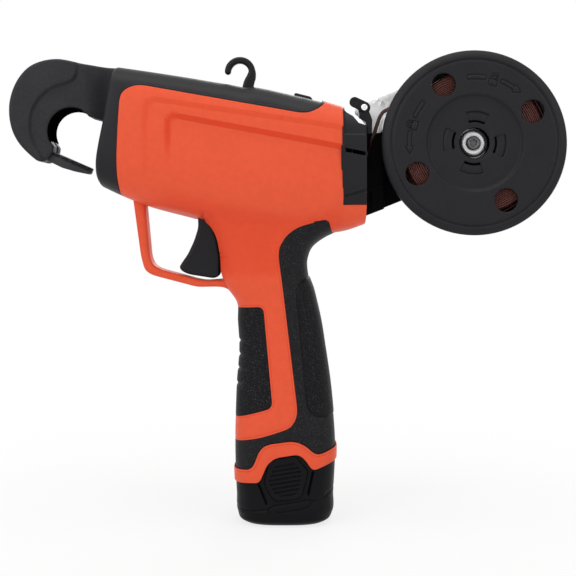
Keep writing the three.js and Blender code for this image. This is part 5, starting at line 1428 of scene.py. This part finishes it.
# The spool's wire is flat, coated and wound on edge in close layers. Its near side shows the edges
# of the layers as fine rings, and its outer layer is one unbroken helix.
LAYER_PITCH = 1.18
WOUND_FROM, WOUND_TO = 30.4, 43.6
WINDING_BACK = 3.6
wire_coat = strand_finish("tie_wire_coat", (0.010, 0.0038, 0.0033), (0.215, 0.052, 0.038), 0.58)
ring_radii = np.arange(WOUND_FROM, WOUND_TO + 0.1, LAYER_PITCH / 8)
ridge = np.abs(np.sin(math.pi * (ring_radii - WOUND_FROM) / LAYER_PITCH)) ** 0.6
near_side = np.stack([ring_radii, -16.1 - 0.75 * ridge], axis=1)
winding_profile = np.concatenate([
    near_side, [(WOUND_TO, -15.6), (WOUND_TO, WINDING_BACK), (WOUND_FROM, WINDING_BACK)],
])


def layer_drift(turn, radius):
    """The layers wander by 0.3 sin(2 t + r / 2), and lie true at the winding's two borders."""
    free = np.clip((radius - WOUND_FROM) * (WOUND_TO - radius) / 20, 0, 1)
    return 0.30 * np.sin(2 * turn + 0.5 * radius) * free


points, faces = turned(winding_profile, count=160, drift=layer_drift)
mesh_piece("wire_winding_layers", points, faces, "reel", "tie_wire", wire_coat, ["wire_winding"], sharp=40)


def helix(radius, first, last, near, far, steps, wide, thick):
    """A flat wire wound between two levels of y: (r cos t, y rising evenly, r sin t)."""
    turn = np.radians(np.linspace(first, last, steps))
    out = np.stack([np.cos(turn), 0 * turn, np.sin(turn)], axis=1)
    path = np.array((SPOOL_X, 0.0, SPOOL_Z)) + out * radius
    path[:, 1] = np.linspace(near, far, steps)
    side = np.tile((0.0, 1.0, 0.0), (steps, 1))
    return strip(path, side, out, np.full(steps, wide), thick)


OUTER_TURNS = 7.2
outer = helix(44.0, first=116, last=116 - 360 * OUTER_TURNS, near=-15.7, far=2.5, steps=560,
              wide=2.2, thick=0.7)
loose = helix(45.9, first=100, last=-230, near=-15.2, far=-14.2, steps=90, wide=1.7, thick=0.55)
points, faces = gathered(outer, loose)
mesh_piece("wire_outer_layer", points, faces, "reel", "tie_wire", wire_coat, ["wire_outer_turns"], sharp=50)

# The former inside the wire is a plain moulding, in the darkest black as painted shade for the deep shade
# behind the cover. A thin disc at its back keeps the layers in place, and it turns on the hub.
# Painted shade: this black is far darker than the other black mouldings, for the deep shade behind the
# spool where the former and the bracket lie.
painted_shade_black = moulded("painted_shade_black", (0.0022, 0.0021, 0.0025), rough=0.5, depth=0.05, gloss=0.03)
former = turned([
    (10.3, -16.9), (10.6, -17.15), (29.7, -17.15), (30.0, -16.8), (30.0, 3.4), (10.3, 3.4),
], count=120)
back_disc = turned([(10.3, 3.65), (47.8, 3.65), (48.0, 3.8), (48.0, 4.15), (10.3, 4.15)], count=120)
points, faces = gathered(former, back_disc)
mesh_piece("bobbin_moulding", points, faces, "reel", "black_cover_plastic", painted_shade_black,
           ["bobbin_core"], sharp=40)

# The free stretch of the wire leaves the winding, bends over the guide and dips into the slot in
# the collar. It is held at both ends and turns its flat side outwards on the way.
WIRE_STEPS = 90
WIRE_WIDTH = 2.3
WIRE_THICK = 0.7
wire_points = np.array([
    (87.8, 271.5), (75.1, 263.9), (66.5, 259.0), (62.2, 256.5), (59.4, 254.9), (57.3, 251.9), (55.5, 247.0),
    (53.9, 242.1), (52.3, 237.1), (50.6, 231.7), (48.6, 227.0), (46.4, 222.8), (42.6, 219.1), (37.5, 217.4),
])
wire_spans = np.concatenate([[0], np.cumsum(np.linalg.norm(np.diff(wire_points, axis=0), axis=1))])
wire_knots = np.column_stack([wire_spans, wire_points])
wire_at = np.linspace(0, wire_spans[-1], WIRE_STEPS)
wire_x, wire_z = (station_curve(wire_knots, column, wire_at) for column in (1, 2))
wire_share = wire_at / wire_spans[-1]
wire_y = -9.9 + 2.0 * np.clip(wire_share * 2.5, 0, 1)
wire_path = np.stack([wire_x, wire_y, wire_z], axis=1)
wire_along = unit(np.gradient(wire_path, axis=0))
wire_side = unit(np.cross(wire_along, (0.0, 1.0, 0.0)))
turned_out = smooth_rise((wire_share - 0.12) / 0.22) * (1 - smooth_rise((wire_share - 0.58) / 0.16))
facing = math.pi / 2 * turned_out[:, None]
wire_flat = np.cos(facing) * np.array((0.0, 1.0, 0.0)) + np.sin(facing) * wire_side
wire_thin = np.cross(wire_along, wire_flat)
points, faces = strip(wire_path, wire_flat, wire_thin, np.full(WIRE_STEPS, WIRE_WIDTH), WIRE_THICK)
feed_coat = strand_finish("feed_wire_coat", (0.022, 0.0045, 0.004), (0.075, 0.014, 0.011), 1.4)
mesh_piece("feed_wire_strip", points, faces, "housing", "tie_wire", feed_coat, ["feed_wire"], sharp=50)


BRUSH_HEIGHT = 0.2 * MM


def metal(name, colour, rough, brushed=240.0, gleam=1.0, worn=0.10):
    """Bare metal: bright base, fine brushing that changes the roughness, and faint cloudy wear."""
    made = bpy.data.materials.new(name)
    base = emptied(made)
    place = base.node("ShaderNodeTexCoord", out="Object")
    drawn = base.node("ShaderNodeMapping", {"Vector": place, "Scale": (1.0, 1.0, 9.0)})
    brush = base.node("ShaderNodeTexNoise", {"Vector": drawn, "Scale": brushed, "Detail": 3.0})
    cloud = base.node("ShaderNodeTexNoise", {"Vector": place, "Scale": 150.0, "Detail": 3.0})
    wear = (cloud * 0.6 + brush * 0.4).between(0.2, 0.8)
    bump = base.node("ShaderNodeBump", {"Strength": 0.05, "Distance": BRUSH_HEIGHT, "Height": brush})
    values = {
        "Base Color": wear.blend(opaque(colour, 1 - worn), opaque(colour)),
        "Metallic": gleam,
        "Roughness": rough - 0.03 + brush * 0.06,
        "Normal": bump,
    }
    base.node("ShaderNodeOutputMaterial", {"Surface": base.node("ShaderNodeBsdfPrincipled", values)})
    return made


# The trigger's pin is a rolled steel sleeve with chamfered ends. It lies in bosses of the two
# shells, and the trigger turns on it.
pin_profile = [(0.5, -10.0), (1.2, -10.0), (1.5, -9.7), (1.5, 9.7), (1.2, 10.0), (0.5, 10.0)]
points, faces = turned(pin_profile, x=-48.5, z=186.3, count=32)
pin_steel = metal("pin_steel", (0.62, 0.62, 0.64), 0.3)
mesh_piece("trigger_sleeve_pin", points, faces, "housing", "bright_steel", pin_steel, ["trigger_pin"],
           sharp=40)

# The spool turns on a steel axle. A dark socket screw and a white nylon washer hold it there, and
# both show in the cover's centre.
washer_white = moulded("washer_nylon", (0.97, 0.97, 0.965), rough=0.25, depth=0.03, gloss=0.6,
                       mottle=0.01)
washer = turned([
    (4.6, -13.0), (4.6, -13.9), (4.9, -14.1), (6.5, -14.1), (6.8, -13.8), (6.8, -13.0),
], count=72)
welded(mesh_piece("hub_washer", *washer, "housing", "white_nylon", washer_white, ["axle_washer"], sharp=40))
screw_dark = metal("screw_blacking", (0.11, 0.11, 0.115), 0.34, gleam=0.9)
SOCKET_RADIUS = 2.3


def six_sided(turn, radius):
    """The socket's wall follows a hexagon: 0.93 r / cos(angle from the middle of a side) - r."""
    side = (turn + math.pi / 6) % (math.pi / 3) - math.pi / 6
    return np.where(radius < SOCKET_RADIUS, radius * (0.93 / np.cos(side) - 1), 0)


head_ring = turned([
    (2.1, -14.2), (2.1, -15.7), (2.6, -16.15), (3.1, -16.3), (3.6, -16.2), (4.1, -15.7),
    (4.3, -15.1), (4.3, -14.1),
], count=72, drift=six_sided)
socket_floor = turned([(0.02, -14.7), (0.6, -14.75), (2.2, -14.6), (2.2, -14.1), (0.02, -14.1)], count=72)
shank = turned([(0.02, -14.1), (2.4, -14.1), (2.4, -5.0), (1.8, -4.0), (0.02, -4.0)], count=36)
points, faces = gathered(head_ring, socket_floor, shank)
welded(mesh_piece("axle_socket_screw", points, faces, "housing", "dark_steel", screw_dark,
                  ["axle_screw"], sharp=35))

# A black moulded bracket is bolted to the collar's end face. Its arm runs behind the spool to the
# axle, and its box has ribs and a sloping foot.
box_ring = closed_ring([(48.2, 190.0), (60.2, 194.6), (60.2, 242.0), (48.2, 242.0)], cut=0.6, step=0.9)
box_panels = [np.array(panel, float) for panel in (
    [(51.0, 227.5), (51.0, 219.5), (49.9, 219.5)], [(48.4, 205.6), (58.0, 209.8)],
    [(52.6, 195.0), (52.6, 205.2)], [(49.4, 199.0), (52.6, 199.6)], [(50.6, 233.5), (50.6, 229.5)],
)]


def box_ribs(flat):
    """Low ribs on the box's side."""
    return sum(0.5 * smooth_rise((0.75 - distance_to(panel, flat)) / 0.4) for panel in box_panels)


box = slab(box_ring, near=-5.5, far=12.6, rounding=0.9, relief=box_ribs,
           lines=[spaced(panel, 0.6) for panel in box_panels], step=1.2)
boss = arc(SPOOL_X, SPOOL_Z, 17, -62, 100, 20)
arm_ring = closed_ring(np.concatenate([[(50.0, 190.9)], boss, [(50.0, 241.9)]]), step=1.2)
axle_hole = disc_ring(SPOOL_X, SPOOL_Z, 8.2, 0.9)[::-1]
arm = slab(arm_ring, near=7.0, far=12.7, rounding=0.8, holes=[axle_hole], step=2.4)
foot_ring = closed_ring([(40.9, 203.0), (50.0, 203.0), (50.0, 233.0), (40.9, 233.0)], cut=0.6, step=1.0)
foot = slab(foot_ring, near=-4.0, far=11.5, rounding=0.5, step=2.0)
points, faces = gathered(box, arm, foot)
# The bracket's black is partly its own colour and partly painted shade, darker than the other black
# mouldings.
mesh_piece("spool_bracket", points, faces, "housing", "battery_plastic", painted_shade_black,
           ["carrier_arm"], sharp=50)

# Behind the spool stands a bright pressed plate. It carries the wire's guide, a curved lip bent
# towards the camera, and the post of the tension lever.
plate_steel = metal("plated_sheet", (0.90, 0.90, 0.90), 0.36, brushed=160.0, gleam=0.6, worn=0.08)
LEVER_X, LEVER_Z = 47.0, 257.0
plate_round = arc(SPOOL_X, SPOOL_Z, 50, -140, 111.3, 80)
plate_tip = arc(47.4, 257.4, 4.6, 111.3, 205, 8)
plate_foot = [(46.6, 252.6), (49.6, 249.0), (50.2, 230.0)]
plate_ring = closed_ring(np.concatenate([plate_round, plate_tip, plate_foot]), step=1.6)
plate_hole = disc_ring(SPOOL_X, SPOOL_Z, 8.1, 0.9)[::-1]
mark = np.array([(55.6, 262.6), (57.6, 264.6), (60.0, 263.6), (59.0, 261.4)])
edge_bead = np.array([(46.5, 261.9), (95.5, 281.2)])


def plate_marks(flat):
    """A rolled bead along the upper edge and a small pressed hook mark."""
    bead = 0.45 * np.exp(-((distance_to(edge_bead, flat) - 1.2) / 0.5) ** 2)
    return bead + 0.35 * smooth_rise((0.8 - distance_to(mark, flat)) / 0.4)


sheet_metal = slab(plate_ring, near=13.0, far=14.6, rounding=0.35, holes=[plate_hole], relief=plate_marks,
                   lines=[spaced(mark, 0.5), spaced(edge_bead, 1.0)], step=2.0)
guide_line = spaced(softened([
    (69.9, 258.6), (66.8, 257.7), (64.0, 256.2), (61.4, 254.2), (59.9, 251.6), (59.0, 248.6),
    (58.4, 245.9), (58.2, 242.4),
], 2.0), 0.7)
guide_ring = closed_ring(np.concatenate([guide_line, sideways(guide_line, 1.4)[::-1]]), step=0.6)
guide = slab(guide_ring, near=-11.5, far=13.2, rounding=0.3, step=0.7)
post_profile = [(1.3, -11.4), (2.7, -11.4), (3.0, -11.1), (3.0, 13.2), (1.3, 13.2)]
post = turned(post_profile, LEVER_X, LEVER_Z, count=40)
points, faces = gathered(sheet_metal, guide, post)
mesh_piece("guide_plate", points, faces, "housing", "bright_steel", plate_steel, ["side_plate"], sharp=40)

# The tension lever is a small moulded lever on a bright screw. Its tab is lifted by a finger, and
# its foot presses the wire.
TAB_X, TAB_Z = 41.2, 260.5
LEVER_FACE, LEVER_BACK = -14.0, -11.5
lever_ring = closed_ring(np.concatenate([
    arc(LEVER_X, LEVER_Z, 3.9, -38, 60, 10), arc(TAB_X, TAB_Z, 3.2, 62, 236, 16),
    [(43.4, 255.9), (44.1, 253.0), (43.7, 250.7), (45.8, 249.6), (48.0, 248.3), (48.6, 246.2),
     (48.7, 240.9), (51.9, 240.9), (52.1, 249.6), (50.8, 253.2)],
]), cut=0.7, step=0.5)


def lever_face(flat):
    """A ring stands round the screw, with a fine groove outside it, and the tab is hollowed."""
    radius = gap_from(flat, LEVER_X, LEVER_Z)
    ring = 0.55 * smooth_rise((3.0 - radius) / 0.4) - 0.3 * np.exp(-((radius - 3.25) / 0.25) ** 2)
    return ring - 0.35 * smooth_rise((2.2 - gap_from(flat, TAB_X, TAB_Z)) / 1.2)


lever_black = moulded("lever_black", (0.0135, 0.013, 0.0148), rough=0.42, depth=0.06, gloss=0.14)
points, faces = slab(lever_ring, LEVER_FACE, LEVER_BACK, rounding=0.6, relief=lever_face,
                     lines=[disc_ring(LEVER_X, LEVER_Z, 3.1, 0.5)], step=0.6)
mesh_piece("wire_lever_moulding", points, faces, "wire_lever", "black_cover_plastic", lever_black,
           ["tension_lever"], sharp=60)
screw_bright = metal("screw_plating", (0.93, 0.93, 0.92), 0.22, gleam=0.85, worn=0.05)
slot_cut = np.array([(46.35, 255.8), (47.65, 258.2)])


def driver_slot(flat):
    """A straight slot across the screw's head, 0.7 mm deep."""
    return -0.7 * smooth_rise((0.42 - distance_to(slot_cut, flat)) / 0.2)


screw_head = slab(disc_ring(LEVER_X, LEVER_Z, 2.0, 0.35), near=-16.0, far=-14.3, rounding=0.5,
                  relief=driver_slot, lines=[spaced(slot_cut, 0.3)], step=0.35)
stem_profile = [(0.02, -14.4), (1.25, -14.4), (1.25, -3.0), (0.9, -2.6), (0.02, -2.6)]
points, faces = gathered(screw_head, turned(stem_profile, LEVER_X, LEVER_Z, count=24))
welded(mesh_piece("lever_slot_screw", points, faces, "housing", "bright_steel", screw_bright,
                  ["lever_screw"], sharp=40))

# Everything inside, and the small fixings outside, keep their own solids and get the finish of
# what they are made of: turned steel, brass, moulded switches, the printed board and wrapped cells.
inside_finishes = {
    "bright_steel": metal("turned_steel", (0.62, 0.62, 0.63), 0.30),
    "dark_steel": metal("blackened_steel", (0.13, 0.13, 0.135), 0.38),
    "brass": metal("drawn_brass", (0.66, 0.44, 0.17), 0.30),
    "switch_plastic": moulded("switch_case", (0.030, 0.030, 0.034), rough=0.5, gloss=0.2),
    "circuit_board": moulded("board_lacquer", (0.012, 0.10, 0.035), rough=0.35, grain=500.0, gloss=0.4,
                             mottle=0.25),
    "battery_cell_wrap": moulded("cell_wrap", (0.05, 0.16, 0.38), rough=0.38, gloss=0.35, mottle=0.06),
    "white_nylon": moulded("bobbin_nylon", (0.80, 0.80, 0.78), rough=0.45, gloss=0.3, mottle=0.04),
    "black_cover_plastic": cover_black,
    "battery_plastic": battery_black,
    "orange_plastic": orange,
    "grip_rubber": rubber,
    "hook_plastic": hook_grey,
    "tie_wire": wire_coat,
}
for node_name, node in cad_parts.items():
    for place in node.material_slots:
        kept = inside_finishes[place.material.name.split(".")[0]]
        place.material = liner_black if node_name == "hook_wire_channel" else kept
